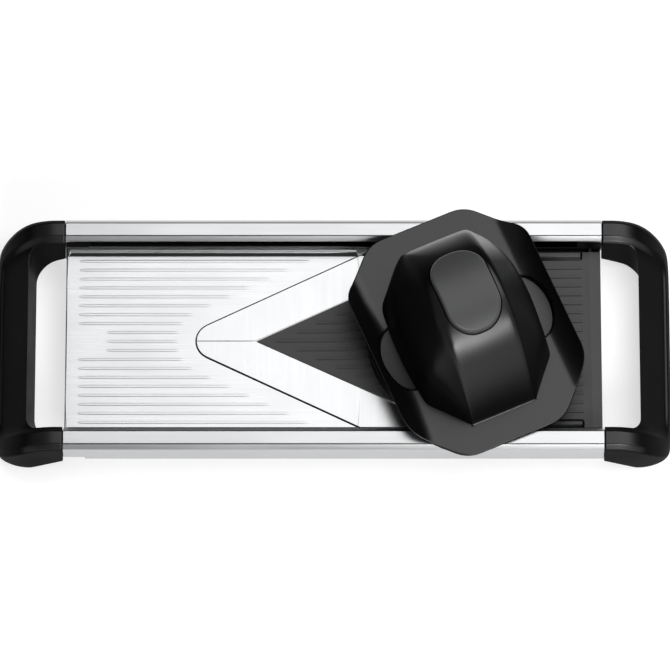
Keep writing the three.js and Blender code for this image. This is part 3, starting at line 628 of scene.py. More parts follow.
GROOVE_HALF_LENGTH = 161.0
GROOVE_HALF_HEIGHT = 3.8
GROOVE_CORNER = 0.6
GROOVE_MIDDLE = 28.0
GROOVE_POINTS = 160
SHADE_SHEET_INNER = 64.02
SHADE_SHEET_OUTER = 64.3
SHADE_LIP_HALF_LENGTH = 158.5
SHADE_LIP = ((61.25, 24.05), (61.25, 24.3), (64.1, 24.3), (64.1, 24.05))
GROOVE_END_START = 150.0
GROOVE_END_REACH = 164.7
GROOVE_END_CORNER = 1.4
GROOVE_END_MARGIN = 0.2
GROOVE_END_FACE = (61.02, 61.4)
GROOVE_END_POINTS = 96


# A black sheet in the groove: painted shade for the groove's dark inside
def model_groove_shade(side):
    outline = rounded_rectangle(
        GROOVE_HALF_LENGTH, GROOVE_HALF_HEIGHT, GROOVE_CORNER, GROOVE_POINTS)
    rows = [[(point.x, side * y, point.y + GROOVE_MIDDLE) for point in outline]
            for y in (SHADE_SHEET_INNER, SHADE_SHEET_OUTER)]
    liner = woven(far_or_near(side, "groove_shade_sheet"), rows, wrap=True)
    close_seam(liner, fill=True)
    lip = woven("lip", [[(x, side * y, z) for y, z in SHADE_LIP]
                        for x in (-SHADE_LIP_HALF_LENGTH, SHADE_LIP_HALF_LENGTH)], wrap=True)
    close_seam(lip, fill=True)
    attach(liner, lip)
    complete(liner, "frame", "black_plastic")


# A black plate on the rail's inner wall at the groove's end: painted shade
def model_groove_end(side, end):
    middle = (GROOVE_END_START + GROOVE_END_REACH) / 2
    outline = rounded_rectangle(
        (GROOVE_END_REACH - GROOVE_END_START) / 2, GROOVE_HALF_HEIGHT + GROOVE_END_MARGIN,
        GROOVE_END_CORNER, GROOVE_END_POINTS)
    rows = [[(end * (middle + point.x), side * y, point.y + GROOVE_MIDDLE) for point in outline]
            for y in GROOVE_END_FACE]
    plate = woven(far_or_near(side, right_or_left(end, "groove_end")), rows, wrap=True)
    close_seam(plate, fill=True)
    complete(plate, "frame", "black_plastic")


# Dark strips, in millimetres: one closes the gap between the runway and the rail, with a wall
# that stands up along the rail, as painted shade for the dark gap there, and a flat trim lies on
# the landing plate beside its bead

STRIP_START = 79.6
STRIP_END = 164.5
STRIP_INNER = 57.95
STRIP_OUTER = 61.15
STRIP_LOW = 17.2
STRIP_HIGH = 18.2
STRIP_WALL = 0.45
STRIP_WALL_TOP = 24.1
STRIP_EDGE = 0.2

TRIM_INNER = 56.1
TRIM_OUTER = 58.1
TRIM_RISE = 0.35
TRIM_START_GAP = 1.0
TRIM_END_GAP = 3.0


def flat_strip(name, side, ends, inner, outer, low, high, wall=()):
    """A thin black strip along a rail, with its inner top edge broken.
    wall gives the points of a part that stands up along the rail."""
    section = [(inner, low), (inner, high - STRIP_EDGE), (inner + STRIP_EDGE, high)]
    section += list(wall) or [(outer, high)]
    section.append((outer, low))
    rows = [[(x, side * y, z) for y, z in section] for x in ends]
    strip = woven(far_or_near(side, name), rows, wrap=True)
    close_seam(strip, fill=True)
    complete(strip, "frame", "black_plastic")


def model_dark_strips(side):
    # Painted shade: a black strip with an upright wall fills the dark gap between the runway and
    # the rail
    wall = [(STRIP_OUTER - STRIP_WALL, STRIP_HIGH), (STRIP_OUTER - STRIP_WALL, STRIP_WALL_TOP),
            (STRIP_OUTER, STRIP_WALL_TOP)]
    flat_strip("gap_shade_strip", side, (STRIP_START, STRIP_END), STRIP_INNER, STRIP_OUTER,
               STRIP_LOW, STRIP_HIGH, wall)
    ends = (PLATE_START + TRIM_START_GAP, blade_side(BLADE_GAP, TRIM_OUTER) - TRIM_END_GAP)
    flat_strip("plate_trim", side, ends, TRIM_INNER, TRIM_OUTER,
               PLATE_TOP - SINK, PLATE_TOP + TRIM_RISE)


# Runway trims, in millimetres: a black sleeve on each end of the pivot rod, and a dark sloping
# foot round each guide bar as painted shade for its shadow line. The foot's places are counted
# from the pivot along the runway, which lies tilted by so many radians

PIVOT = (158.0, 21.0)
SLEEVE_RADIUS = 2.2
SLEEVE_ENDS = (57.75, 61.1)
SLEEVE_EDGE = 0.3
SLEEVE_POINTS = 48
RUNWAY_TILT = 0.01512
RUNWAY_COVER = 3.0
BAR_SIDE = 53.5
BAR_OUTER = 57.3
BAR_START = -77.5
BAR_END = -6.0
BAR_FOOT = 1.45
BAR_FOOT_RISE = 1.9
BAR_FOOT_EDGE = 0.1
BAR_FOOT_SINK = 0.3
BAR_CORNER = 0.5
BAR_CORNER_STEPS = 6


def model_pivot_sleeve(side):
    """A black sleeve on the pivot rod between the runway and the rail."""
    low, high = SLEEVE_ENDS
    bpy.ops.object.select_all(action="DESELECT")
    bpy.ops.mesh.primitive_cylinder_add(
        vertices=SLEEVE_POINTS, radius=SLEEVE_RADIUS * MM, depth=(high - low) * MM,
        location=(PIVOT[0] * MM, side * (low + high) / 2 * MM, PIVOT[1] * MM),
        rotation=(math.pi / 2, 0, 0))
    sleeve = bpy.context.object
    sleeve.name = far_or_near(side, "pivot_sleeve")
    apply_place(sleeve)
    soften_edges(sleeve, SLEEVE_EDGE * MM)
    complete(sleeve, "frame", "black_plastic")


def on_runway(x, y, z):
    """A place counted from the runway's pivot, turned with the runway."""
    turn_cos = math.cos(RUNWAY_TILT)
    turn_sin = math.sin(RUNWAY_TILT)
    return (PIVOT[0] + x * turn_cos - z * turn_sin, y, PIVOT[1] + x * turn_sin + z * turn_cos)


def model_bar_shade_foot(side):
    """The dark foot round a guide bar's inner side and end, with a rounded corner: painted shade
    for the bar's shadow line.
    """
    centre = (BAR_END - BAR_CORNER, BAR_SIDE + BAR_CORNER)
    reach = (BAR_CORNER, BAR_CORNER + BAR_FOOT)
    pairs = [[(BAR_START, centre[1] - radius) for radius in reach]]
    for step in range(BAR_CORNER_STEPS + 1):
        angle = math.radians(90 * step / BAR_CORNER_STEPS)
        pairs.append([(centre[0] + radius * math.sin(angle), centre[1] - radius * math.cos(angle))
                      for radius in reach])
    pairs.append([(centre[0] + radius, BAR_OUTER) for radius in reach])
    low = RUNWAY_COVER - BAR_FOOT_SINK
    high = RUNWAY_COVER + BAR_FOOT_RISE
    edge = RUNWAY_COVER + BAR_FOOT_EDGE
    rows = []
    for inner, outer in pairs:
        corners = ((inner, low), (inner, high), (outer, edge), (outer, low))
        rows.append([on_runway(x, side * y, z) for (x, y), z in corners])
    foot = woven(far_or_near(side, "bar_shade_foot"), rows, wrap=True)
    close_seam(foot, fill=True)
    complete(foot, NODE_BODY["runway"], "black_plastic")


# Handles: x is counted outwards from the rail's end, y from the middle, in millimetres

HANDLE_TOP = 36.0
HANDLE_BEVEL = 3.3
HANDLE_EDGE = 0.7
HANDLE_STATIONS = [
    # outer wall, outer rim line, inner rim line, field line, angle round the finger hole
    ((0.3, 75.4), (0.3, 72.4), (0.3, 64.0), (0.3, 60.95), 0),
    ((4.0, 75.4), (4.0, 72.4), (4.0, 64.0), (4.0, 60.95), 0),
    ((8.0, 75.4), (8.0, 72.4), (8.0, 64.0), (8.0, 60.95), 0),
    ((12.5, 75.4), (12.5, 72.4), (12.5, 64.0), (12.0, 60.9), 9),
    ((17.0, 75.4), (17.0, 72.4), (16.8, 63.9), (15.8, 60.8), 20),
    ((21.0, 75.4), (21.0, 72.4), (20.6, 63.2), (19.4, 60.4), 32),
    ((25.5, 75.0), (25.2, 72.0), (24.0, 62.4), (23.2, 59.8), 44),
    ((30.0, 74.1), (29.4, 71.1), (28.0, 61.8), (27.0, 59.1), 55),
    ((34.5, 72.4), (33.4, 69.5), (32.3, 61.3), (31.0, 58.1), 65),
    ((38.0, 70.4), (36.7, 67.6), (36.2, 60.8), (34.6, 56.3), 74),
    ((40.7, 67.4), (39.6, 65.0), (38.8, 59.4), (37.1, 53.3), 82),
    ((42.1, 62.0), (41.2, 60.6), (40.4, 56.0), (38.3, 48.9), 90),
    ((42.5, 49.0), (41.6, 48.0), (40.7, 46.0), (38.5, 41.0), None),
    ((42.5, 33.0), (41.6, 32.0), (40.7, 31.0), (38.5, 28.0), None),
    ((42.5, 16.0), (41.6, 16.0), (40.7, 15.0), (38.5, 14.0), None),
    ((42.5, 0.0), (41.6, 0.0), (40.7, 0.0), (38.5, 0.0), None),
]
FIELD_CORNER_Y = 48.9
HOLE_HALF = 60.6
HOLE_END = 22.5
TOP_CORNER = 8.0
TOP_CORNER_START = 12
FOOT_CORNER = 13.0
SIDE_DRAFT = 3.0
UNDERSIDE_START = 13.0
UNDERSIDE_RUN = 21.0
UNDERSIDE_LOW = 0.5
BEND = ((6.7, HANDLE_TOP), (26.0, HANDLE_TOP), (42.5, 1.5))

# How far the hole's end wall leans outwards at its foot, at the left and at the right
END_DRAFT = {-1: -4.0, 1: 3.0}

# How far the rim lies under the bend, and the least heights over the underside's lowest
RIM_DROP = 0.1
WALL_LEAST = 1.0
RIM_LEAST = 2.0
FIELD_LEAST = 2.5


def bend_height(x):
    """The handle's top before its bevels: flat, then one even bend down to the table."""
    (x0, z0), (x1, z1), (x2, z2) = BEND
    if x <= x0:
        return z0
    square = x0 - 2 * x1 + x2
    slope = 2 * (x1 - x0)
    share = (-slope + math.sqrt(slope * slope - 4 * square * (x0 - x))) / (2 * square)
    share = min(share, 1.0)
    return (1 - share) ** 2 * z0 + 2 * share * (1 - share) * z1 + share ** 2 * z2


def underside_height(x):
    share = min(x / UNDERSIDE_RUN, 1.0)
    return UNDERSIDE_START + (UNDERSIDE_LOW - UNDERSIDE_START) * share


def hole_point(field, angle, end, half, radius, first_angle=0):
    """A point on the finger hole's edge; beyond its corner the edge runs straight across."""
    corner_x = end - radius
    corner_y = half - radius
    if angle is None:
        return end, field[1] * corner_y / FIELD_CORNER_Y
    if angle <= first_angle:
        return min(field[0], corner_x), half
    turn = math.radians(90 * (angle - first_angle) / (90 - first_angle))
    return corner_x + radius * math.sin(turn), corner_y + radius * math.cos(turn)


def handle_section(station, end):
    """One station's ring of points, from the outer wall's foot over the rim to the hole's foot."""
    outer, rim, inner, field, angle = station
    top_edge = hole_point(field, angle, HOLE_END, HOLE_HALF, TOP_CORNER, TOP_CORNER_START)
    foot_edge = hole_point(field, angle, HOLE_END + END_DRAFT[end], HOLE_HALF - SIDE_DRAFT,
                           FOOT_CORNER)
    low = UNDERSIDE_LOW
    return [
        (*outer, underside_height(outer[0])),
        (*outer, max(bend_height(outer[0]) - HANDLE_BEVEL, low + WALL_LEAST)),
        (*rim, max(bend_height(rim[0]) - RIM_DROP, low + RIM_LEAST)),
        (*inner, bend_height(inner[0])),
        (*field, max(bend_height(field[0]) - HANDLE_BEVEL, low + FIELD_LEAST)),
        (*top_edge, bend_height(top_edge[0]) - HANDLE_BEVEL),
        (*foot_edge, underside_height(foot_edge[0])),
    ]


def model_handle(end):
    half = [handle_section(station, end) for station in HANDLE_STATIONS]
    other_half = [[(x, -y, z) for x, y, z in ring] for ring in reversed(half[:-1])]
    rings = half + other_half
    rows = [[ring[place] for ring in rings] for place in range(len(rings[0]))]
    rows.append(rows[0])
    node = right_or_left(end, "handle")
    piece = woven(node + "_piece",
                  [[(end * (x + RAIL_END / MM), y, z) for x, y, z in row] for row in rows])
    last = len(rings) - 1

    def sharpness(first, second):
        along = first[0] == second[0]
        at_end = first[1] == second[1] and first[1] in (0, last)
        return 1.0 if along or at_end else 0.0

    crease(piece, len(rings), sharpness)
    close_seam(piece, fill=True)
    modify(piece, "SUBSURF", levels=2, render_levels=2)
    soften_edges(piece, HANDLE_EDGE * MM, steps=3, angle=24.0)
    complete(piece, "frame", "black_plastic", node)


# Landing plate, in millimetres: the flat sheet, with rounded ribs and side beads

PLATE_SHAVE = 0.01
PLATE_TOP_REACH = 0.05
PLATE_LIP_RADIUS = 0.9
RIB_COUNT = 19
RIB_PITCH = 5.88
RIB_FOOT = 1.05
RIB_RISE = 0.1
RIB_SECTION = ((0.25, 0.98), (0.45, 0.85), (0.65, 0.55), (0.85, 0.16), (1.0, 0.0))
RIB_START = -156.4
SHORT_RIB_START = -139.0
SHORT_RIBS = 3
RIB_END_TAPER = 5.5
RIB_TIP_SHARE = 0.6
BEAD_SECTION = ((58.0, -SINK), (58.0, 0.7), (58.2, 1.15), (58.8, 1.42), (59.6, 1.55),
                (60.3, 1.6), (60.75, 1.45), (60.9, 1.0), (60.9, -SINK))
BEAD_CREST = 58.6
BEAD_START_GAP = 0.2
BEAD_END_GAP = 2.0
BEAD_END_TAPER = 2.4
BEAD_TIP_SHARE = 0.25
TAPER_SHARES = (0.0, 0.12, 0.35, 0.65, 1.0)
BLADE_TIP = -84.0
BLADE_TIP_RADIUS = 11.4
BLADE_HALF_ANGLE = math.radians(26.1)
RIB_TO_BLADE = 10.3
BLADE_GAP = 1.2


def blade_side(offset, y):
    """The x at which a line outside the V blade's outline, at an offset, reaches a place y."""
    radius = BLADE_TIP_RADIUS + offset
    centre = BLADE_TIP + BLADE_TIP_RADIUS
    tangent_y = radius * math.cos(BLADE_HALF_ANGLE)
    reach = abs(y)
    if reach < tangent_y:
        return centre - math.sqrt(radius * radius - reach * reach)
    start = centre - radius * math.sin(BLADE_HALF_ANGLE)
    return start + (reach - tangent_y) / math.tan(BLADE_HALF_ANGLE)


def raised_strip(name, ends, middle, section, taper, tip):
    """A strip along x on the plate's top, whose ends fall away roundly. section is (y, height)
    pairs, and tip is the share of the width that is left at the very end."""
    start, end = ends
    lift = [math.sqrt(1 - (1 - share) ** 2) for share in TAPER_SHARES]
    stops = [(start + taper * share, rise) for share, rise in zip(TAPER_SHARES, lift)]
    stops += [(end - taper * share, rise)
              for share, rise in zip(reversed(TAPER_SHARES), reversed(lift))]
    rows = [[(x, middle + y * (tip + (1 - tip) * rise), PLATE_TOP + height * rise)
             for y, height in section] for x, rise in stops]
    return woven(name, rows)


def bare_plate():
    """The sheet without the solid's own ribs, its first edge rounded over."""
    plate = copy_of_node("landing_plate", "landing_plate_piece", tidy=False)
    edit_all(plate)
    bpy.ops.mesh.bisect(plane_co=(0, 0, (PLATE_TOP - PLATE_SHAVE) * MM), plane_no=(0, 0, 1),
                        use_fill=True, clear_outer=True)
    bpy.ops.mesh.select_all(action="DESELECT")
    end_edit()
    first_end = (PLATE_START + PLATE_SHAVE) * MM
    near_top = (PLATE_TOP - PLATE_TOP_REACH) * MM
    for edge in plate.data.edges:
        places = [plate.data.vertices[index].co for index in edge.vertices]
        edge.select = all(place.x < first_end and place.z > near_top for place in places)
    bpy.ops.object.mode_set(mode="EDIT")
    bpy.ops.mesh.select_mode(type="EDGE")
    bpy.ops.mesh.bevel(offset=PLATE_LIP_RADIUS * MM, segments=4, affect="EDGES")
    end_edit()
    return plate


def plate_ribs():
    half = [(RIB_FOOT * share, RIB_RISE * rise) for share, rise in RIB_SECTION]
    section = ([(-RIB_FOOT, -SINK)] + [(-y, height) for y, height in reversed(half)]
               + [(0, RIB_RISE)] + half + [(RIB_FOOT, -SINK)])
    ribs = []
    for index in range(RIB_COUNT):
        middle = (index - (RIB_COUNT - 1) / 2) * RIB_PITCH
        short = abs(middle) < RIB_PITCH * SHORT_RIBS / 2
        ends = (SHORT_RIB_START if short else RIB_START, blade_side(RIB_TO_BLADE, middle))
        ribs.append(raised_strip("rib", ends, middle, section, RIB_END_TAPER, RIB_TIP_SHARE))
    return ribs


def plate_bead(side):
    section = [(side * y, height) for y, height in BEAD_SECTION]
    ends = (PLATE_START + BEAD_START_GAP, blade_side(BLADE_GAP, BEAD_CREST) - BEAD_END_GAP)
    return raised_strip("bead", ends, 0, section, BEAD_END_TAPER, BEAD_TIP_SHARE)


def model_landing_plate():
    plate = bare_plate()
    strips = plate_ribs() + [plate_bead(side) for side in SIDES]
    for strip in strips:
        edit_all(strip)
        bpy.ops.mesh.normals_make_consistent(inside=False)
        end_edit()
    attach(plate, *strips)
    smooth_shading(plate, angle=50)
    complete(plate, NODE_BODY["landing_plate"], "stainless_sheet", "landing_plate")


# Food guard, drawn in its own frame in millimetres: x is its width, y its length with the
# front at minus y, and z starts at the flange's upper face

GUARD_PLACE = Vector((81.0, 0.0, 38.4))
GUARD_TURN = math.radians(23.5)

# Dome rows from front to back. Each has y and z of the roof's middle, then x, y and z of the
# ridge, the shoulder and the foot.
DOME_ROWS = [
    ((-59.5, 0.1), (20.7, -59.4, 0.1), (21.7, -59.0, 0.1), (22.7, -58.4, 0.1)),
    ((-57.8, 0.4), (20.5, -57.7, 0.4), (21.2, -57.3, 0.2), (22.0, -56.9, -0.4)),
    ((-56.8, 2.8), (20.5, -56.7, 2.8), (21.6, -56.7, 1.4), (22.7, -56.4, -1.5)),
    ((-48.4, 22.3), (20.6, -47.9, 22.0), (26.0, -49.5, 11.0), (27.8, -50.0, -1.5)),
    ((-33.4, 45.8), (20.6, -32.9, 45.4), (33.0, -38.5, 19.0), (35.4, -41.5, -1.5)),
    ((-22.4, 55.8), (20.7, -21.9, 55.4), (39.4, -27.5, 26.0), (42.0, -34.3, -1.5)),
    ((-10.0, 63.2), (20.7, -10.0, 62.6), (41.8, -14.0, 27.5), (43.4, -15.0, -6.0)),
    ((1.0, 66.9), (20.7, 1.0, 66.4), (42.8, -2.0, 28.5), (43.8, -2.0, -6.0)),
    ((14.5, 66.4), (20.7, 14.0, 65.8), (42.2, 11.0, 30.0), (43.6, 11.0, -6.0)),
    ((30.0, 58.6), (20.7, 29.2, 57.9), (39.8, 25.5, 31.0), (43.1, 24.0, -1.5)),
    ((44.2, 44.8), (20.6, 44.2, 44.2), (32.7, 38.5, 31.0), (42.0, 35.0, -1.5)),
    ((52.4, 31.3), (20.5, 52.3, 31.2), (26.2, 49.5, 22.0), (30.5, 47.0, -1.5)),
    ((57.2, -1.5), (20.5, 57.0, -1.5), (21.2, 56.4, -1.5), (21.8, 56.0, -1.5)),
]
DOME_COLUMNS = 9
LEFT_RIDGE = 3
RIGHT_RIDGE = 5
RIGHT_RIDGE_CREASE = (0.3, 0.62, 0.62, 0.62, 0.62, 0.62, 0.6, 0.58, 0.55, 0.5, 0.42, 0.3)
LEFT_RIDGE_CREASE = (0.3, 0.5, 0.5, 0.5, 0.48, 0.4, 0.3, 0.25, 0.25, 0.25, 0.3, 0.3)
CORNER_ROW_CREASE = {5: 0.34, 10: 0.26}
DOME_WALL = 2.2
OVER_DOME = 100.0


def place_guard(piece):
    """Takes a piece from the guard's own frame to its place on the slicer."""
    piece.matrix_world = (Matrix.Translation(GUARD_PLACE * MM)
                          @ Matrix.Rotation(GUARD_TURN, 4, "Z"))
    apply_place(piece)


def complete_guard(piece):
    """Places and finishes a piece that stands for the guard's shell."""
    place_guard(piece)
    paint(piece, finishes["guard_plastic"])
    settle(piece, "guard", NODE_SLOT["guard_shell"], "guard_shell")


def dome_sheet():
    """The dome's outer skin: a roof band between two ridges, and flanks out to the foot."""
    rows = []
    for (roof_y, roof_z), ridge, shoulder, foot in DOME_ROWS:
        middle = tuple((a + b) / 2 for a, b in zip(ridge, shoulder))
        right = [ridge, middle, shoulder, foot]
        left = [(-x, y, z) for x, y, z in reversed(right)]
        rows.append(left + [(0.0, roof_y, roof_z)] + right)
    sheet = woven("dome_skin", rows)

    def sharpness(first, second):
        (row, column), (row_after, column_after) = first, second
        if column == column_after == RIGHT_RIDGE:
            return RIGHT_RIDGE_CREASE[row]
        if column == column_after == LEFT_RIDGE:
            return LEFT_RIDGE_CREASE[row]
        if row == row_after and row in CORNER_ROW_CREASE:
            on_roof = LEFT_RIDGE <= column and column_after <= RIGHT_RIDGE
            return 0.0 if on_roof else CORNER_ROW_CREASE[row]
        return 0.0

    crease(sheet, DOME_COLUMNS, sharpness)
    modify(sheet, "SUBSURF", levels=3, render_levels=3)
    return sheet


def roof_finder(sheet):
    """A function that gives the height of the dome's skin over a place."""
    tree = BVHTree.FromObject(sheet, bpy.context.evaluated_depsgraph_get())

    def height(x, y):
        found = tree.ray_cast(Vector((x, y, OVER_DOME)) * MM, Vector((0, 0, -1)))[0]
        return found.z / MM

    return height


# Thumb pad and the well it sinks into

PAD_HALF_WIDTH = 17.3
PAD_HALF_LENGTH = 26.1
PAD_CORNER = 15.6
PAD_MIDDLE_Y = 3.2
PAD_TOP = 67.95
PAD_BACK = 61.5
PAD_FRONT = 58.1
PAD_EDGE_RADIUS = 1.3
PAD_SKIRT = 48.5
WELL_GAP = 0.8
WELL_WALL = 1.6
WELL_FLOOR = 22.0
WELL_FLOOR_THICKNESS = 2.0
OPENING_ENDS = (30.0, 80.0)
PAD_POINTS = 96
PAD_EDGE_SHARES = (0.0, 0.07, 0.2, 0.38, 0.6, 0.82, 1.0)
PAD_FACE_SHARES = (0.92, 0.8, 0.66, 0.5, 0.34, 0.18, 0.02)


def pad_outline(grow):
    outline = rounded_rectangle(
        PAD_HALF_WIDTH + grow, PAD_HALF_LENGTH + grow, PAD_CORNER + grow, PAD_POINTS)
    return [(point.x, point.y + PAD_MIDDLE_Y) for point in outline]


def pad_top(y):
    """The pad's own even arc: level with the roof at the back, and proud of it at the front."""
    share = (y - PAD_MIDDLE_Y) / PAD_HALF_LENGTH
    end = PAD_BACK if share > 0 else PAD_FRONT
    return PAD_TOP - (PAD_TOP - end) * share * share


def model_thumb_pad():
    """An upright skirt, a rounded edge, and a top whose rings shrink to the middle."""
    rings = [[(x, y, PAD_SKIRT) for x, y in pad_outline(0)]]
    radius = PAD_EDGE_RADIUS
    for share in PAD_EDGE_SHARES:
        inset = radius * share
        drop = radius - math.sqrt(radius ** 2 - (radius - inset) ** 2)
        rings.append([(x, y, pad_top(y) - drop) for x, y in pad_outline(-inset)])
    inner = pad_outline(-radius)
    for share in PAD_FACE_SHARES:
        middles = [(x * share, PAD_MIDDLE_Y + (y - PAD_MIDDLE_Y) * share) for x, y in inner]
        rings.append([(x, y, pad_top(y)) for x, y in middles])
    pad = woven("thumb_pad_piece", rings, wrap=True)
    close_seam(pad, fill=True)
    smooth_shading(pad, angle=60)
    place_guard(pad)
    paint(pad, finishes["pad_plastic"])
    settle(pad, "plunger", NODE_SLOT["thumb_pad"], "thumb_pad")


def model_well(roof):
    """The cup under the pad, hung from the dome's roof."""
    outer = pad_outline(WELL_GAP + WELL_WALL)
    inner = pad_outline(WELL_GAP)
    under_roof = DOME_WALL / 2
    rings = [
        [(x, y, WELL_FLOOR) for x, y in outer],
        [(x, y, roof(x, y) - under_roof) for x, y in outer],
        [(x, y, roof(x, y) - under_roof) for x, y in inner],
        [(x, y, WELL_FLOOR + WELL_FLOOR_THICKNESS) for x, y in inner]]
    well = woven("guard_well_piece", rings, wrap=True)
    close_seam(well, fill=True)
    smooth_shading(well, angle=40)
    return well


def model_dome():
    sheet = dome_sheet()
    roof = roof_finder(sheet)
    model_thumb_pad()
    well = model_well(roof)
    modify(sheet, "SOLIDIFY", thickness=DOME_WALL * MM, offset=-1)
    opening = woven("opening", [
        [(x, y, z) for x, y in pad_outline(WELL_GAP)] for z in OPENING_ENDS], wrap=True)
    close_seam(opening, fill=True)
    combine(sheet, opening, "DIFFERENCE")
    sheet.name = "guard_dome_piece"
    smooth_shading(sheet, angle=50)
    for piece in (sheet, well):
        complete_guard(piece)


# Plunger spring, in the slicer's place in millimetres: its end coils close up, and the rest are
# evenly open

SPRING_CENTRE = (79.92, 2.476)
SPRING_RADIUS = 8.2
SPRING_WIRE = 0.7
SPRING_LOW = 65.7
SPRING_HIGH = 93.4
SPRING_TURNS = 6
SPRING_END_RISE = 1.6
STEPS_PER_TURN = 24
WIRE_POINTS = 8


def spring_height(turn):
    """The wire's height after a number of turns."""
    last = SPRING_TURNS - 1
    open_rise = (SPRING_HIGH - SPRING_LOW - 2 * SPRING_END_RISE) / (last - 1)
    if turn < 1:
        return SPRING_LOW + SPRING_END_RISE * turn
    if turn > last:
        return SPRING_HIGH - SPRING_END_RISE * (SPRING_TURNS - turn)
    return SPRING_LOW + SPRING_END_RISE + open_rise * (turn - 1)


def model_spring():
    rings = []
    for step in range(SPRING_TURNS * STEPS_PER_TURN + 1):
        turn = step / STEPS_PER_TURN
        angle = 2 * math.pi * turn
        ring = []
        for point in range(WIRE_POINTS):
            around = 2 * math.pi * point / WIRE_POINTS
            reach = SPRING_RADIUS + SPRING_WIRE * math.cos(around)
            ring.append((SPRING_CENTRE[0] + reach * math.cos(angle),
                         SPRING_CENTRE[1] + reach * math.sin(angle),
                         spring_height(turn) + SPRING_WIRE * math.sin(around)))
        rings.append(ring)
    spring = woven("plunger_spring_piece", rings, wrap=True)
    close_seam(spring, fill=True)
    smooth_shading(spring, angle=50)
    paint(spring, finishes["plain_steel"])
    settle(spring, "guard", NODE_SLOT["plunger_spring"], "plunger_spring")
    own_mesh(spring)


# Flange: flat along the middle, with two long sides that sweep up, and a finger dish in each

FLANGE_CORNERS = ((32, -76), (60, -47), (60, 47), (32, 76), (-32, 76), (-60, 47), (-60, -47),
                  (-32, -76))
FLANGE_CORNER_REACH = 9.0
FLANGE_THICKNESS = 2.0
FLANGE_EDGE = 0.7
FLANGE_POINTS = 224
FLANGE_RINGS = 18
DOME_FOOT = ((20.5, -58), (42, -34), (43.6, 0), (42, 35), (20.5, 57), (-20.5, 57), (-42, 35),
             (-43.6, 0), (-42, -34), (-20.5, -58))
UNDER_DOME = 0.95
WING_START = 45.0
WING_END = 60.0
WING_RISE = 9.5
WING_SWEEP = 1.8
DISH_MIDDLE = (41.5, -1.0, 2.5)
DISH_REACH = (13.6, 21.8)
DISH_BALL = (22.0, 34.0, 5.0)
DISH_RIM = 20.0
DISH_WALL = 1.8
DISH_INNER_END = 40.5
DISH_SEGMENTS = 64
DISH_ROWS = 40
DISH_OVAL_POINTS = 96
UNDER_FLANGE_DEPTH = 16.0
UNDER_FLANGE_RINGS = 8
COLLAR_RADIUS = 57.5
COLLAR_WALL = 2.2
COLLAR_LOW = -8.0
COLLAR_HIGH = -1.0
COLLAR_POINTS = 128

# Lines count as parallel below the first value, and a point may lie past an edge's end by the
# second, as a share of the edge
PARALLEL_LIMIT = 1e-9
END_SLACK_SHARE = 1e-6


def wing_height(x):
    share = max(abs(x) - WING_START, 0) / (WING_END - WING_START)
    return WING_RISE * share ** WING_SWEEP


def foot_scale(point):
    """How far along the way to an outline point the dome's foot lies."""
    for start, end in zip(DOME_FOOT, DOME_FOOT[1:] + DOME_FOOT[:1]):
        a = Vector(start)
        b = Vector(end)
        edge = b - a
        across = point.x * edge.y - point.y * edge.x
        if abs(across) < PARALLEL_LIMIT:
            continue
        reach = (a.x * edge.y - a.y * edge.x) / across
        place = point * reach
        share = (place - a).dot(edge) / edge.length_squared
        if reach > 0 and -END_SLACK_SHARE <= share <= 1 + END_SLACK_SHARE:
            return reach
    raise ValueError("the dome's foot doesn't go round its middle")


def flange_slab(name, top_drop, thickness, rings=FLANGE_RINGS):
    """A closed ring of the flange's plan, with its top a drop below the flange's face."""
    outline = rounded_outline(FLANGE_CORNERS, FLANGE_CORNER_REACH, FLANGE_POINTS)
    starts = [foot_scale(point) * UNDER_DOME for point in outline]
    tops = []
    for ring in range(rings + 1):
        share = ring / rings
        places = [point * (start + (1 - start) * share) for point, start in zip(outline, starts)]
        tops.append([(place.x, place.y, wing_height(place.x) - top_drop) for place in places])
    bottoms = [[(x, y, z - thickness) for x, y, z in ring] for ring in reversed(tops)]
    slab = woven(name, tops + bottoms + [tops[0]], wrap=True)
    close_seam(slab)
    return slab


def dish_form(side, grow):
    """A shallow ball cut off by an oval wall, which gives the dish its crisp rim."""
    bpy.ops.object.select_all(action="DESELECT")
    middle = [part * MM for part in (side * DISH_MIDDLE[0], DISH_MIDDLE[1], DISH_MIDDLE[2])]
    bpy.ops.mesh.primitive_uv_sphere_add(
        segments=DISH_SEGMENTS, ring_count=DISH_ROWS, radius=MM, location=middle)
    ball = bpy.context.object
    ball.scale = [reach + grow for reach in DISH_BALL]
    bpy.ops.mesh.primitive_cylinder_add(
        vertices=DISH_OVAL_POINTS, radius=MM, depth=MM, location=middle)
    form = bpy.context.object
    form.scale = [reach + grow for reach in DISH_REACH] + [DISH_RIM]
    for piece in (ball, form):
        apply_place(piece)
    combine(form, ball, "INTERSECT")
    return form


def dish_bowl(side):
    """The wall under one finger dish."""
    bowl = dish_form(side, DISH_WALL)
    edit_all(bowl)
    bpy.ops.mesh.bisect(plane_co=(side * DISH_INNER_END * MM, 0, 0), plane_no=(-side, 0, 0),
                        use_fill=True, clear_outer=True)
    end_edit()
    under_flange = flange_slab(
        "under_flange", FLANGE_THICKNESS / 3, UNDER_FLANGE_DEPTH, UNDER_FLANGE_RINGS)
    combine(bowl, under_flange, "INTERSECT")
    return bowl


def guard_collar():
    """The short tube under the flange that turns on the glide ring."""
    bpy.ops.object.select_all(action="DESELECT")
    bpy.ops.mesh.primitive_cylinder_add(
        vertices=COLLAR_POINTS, radius=COLLAR_RADIUS * MM, depth=(COLLAR_HIGH - COLLAR_LOW) * MM,
        location=(0, 0, (COLLAR_LOW + COLLAR_HIGH) / 2 * MM), end_fill_type="NOTHING")
    collar = bpy.context.object
    apply_place(collar)
    modify(collar, "SOLIDIFY", thickness=COLLAR_WALL * MM, offset=-1)
    return collar


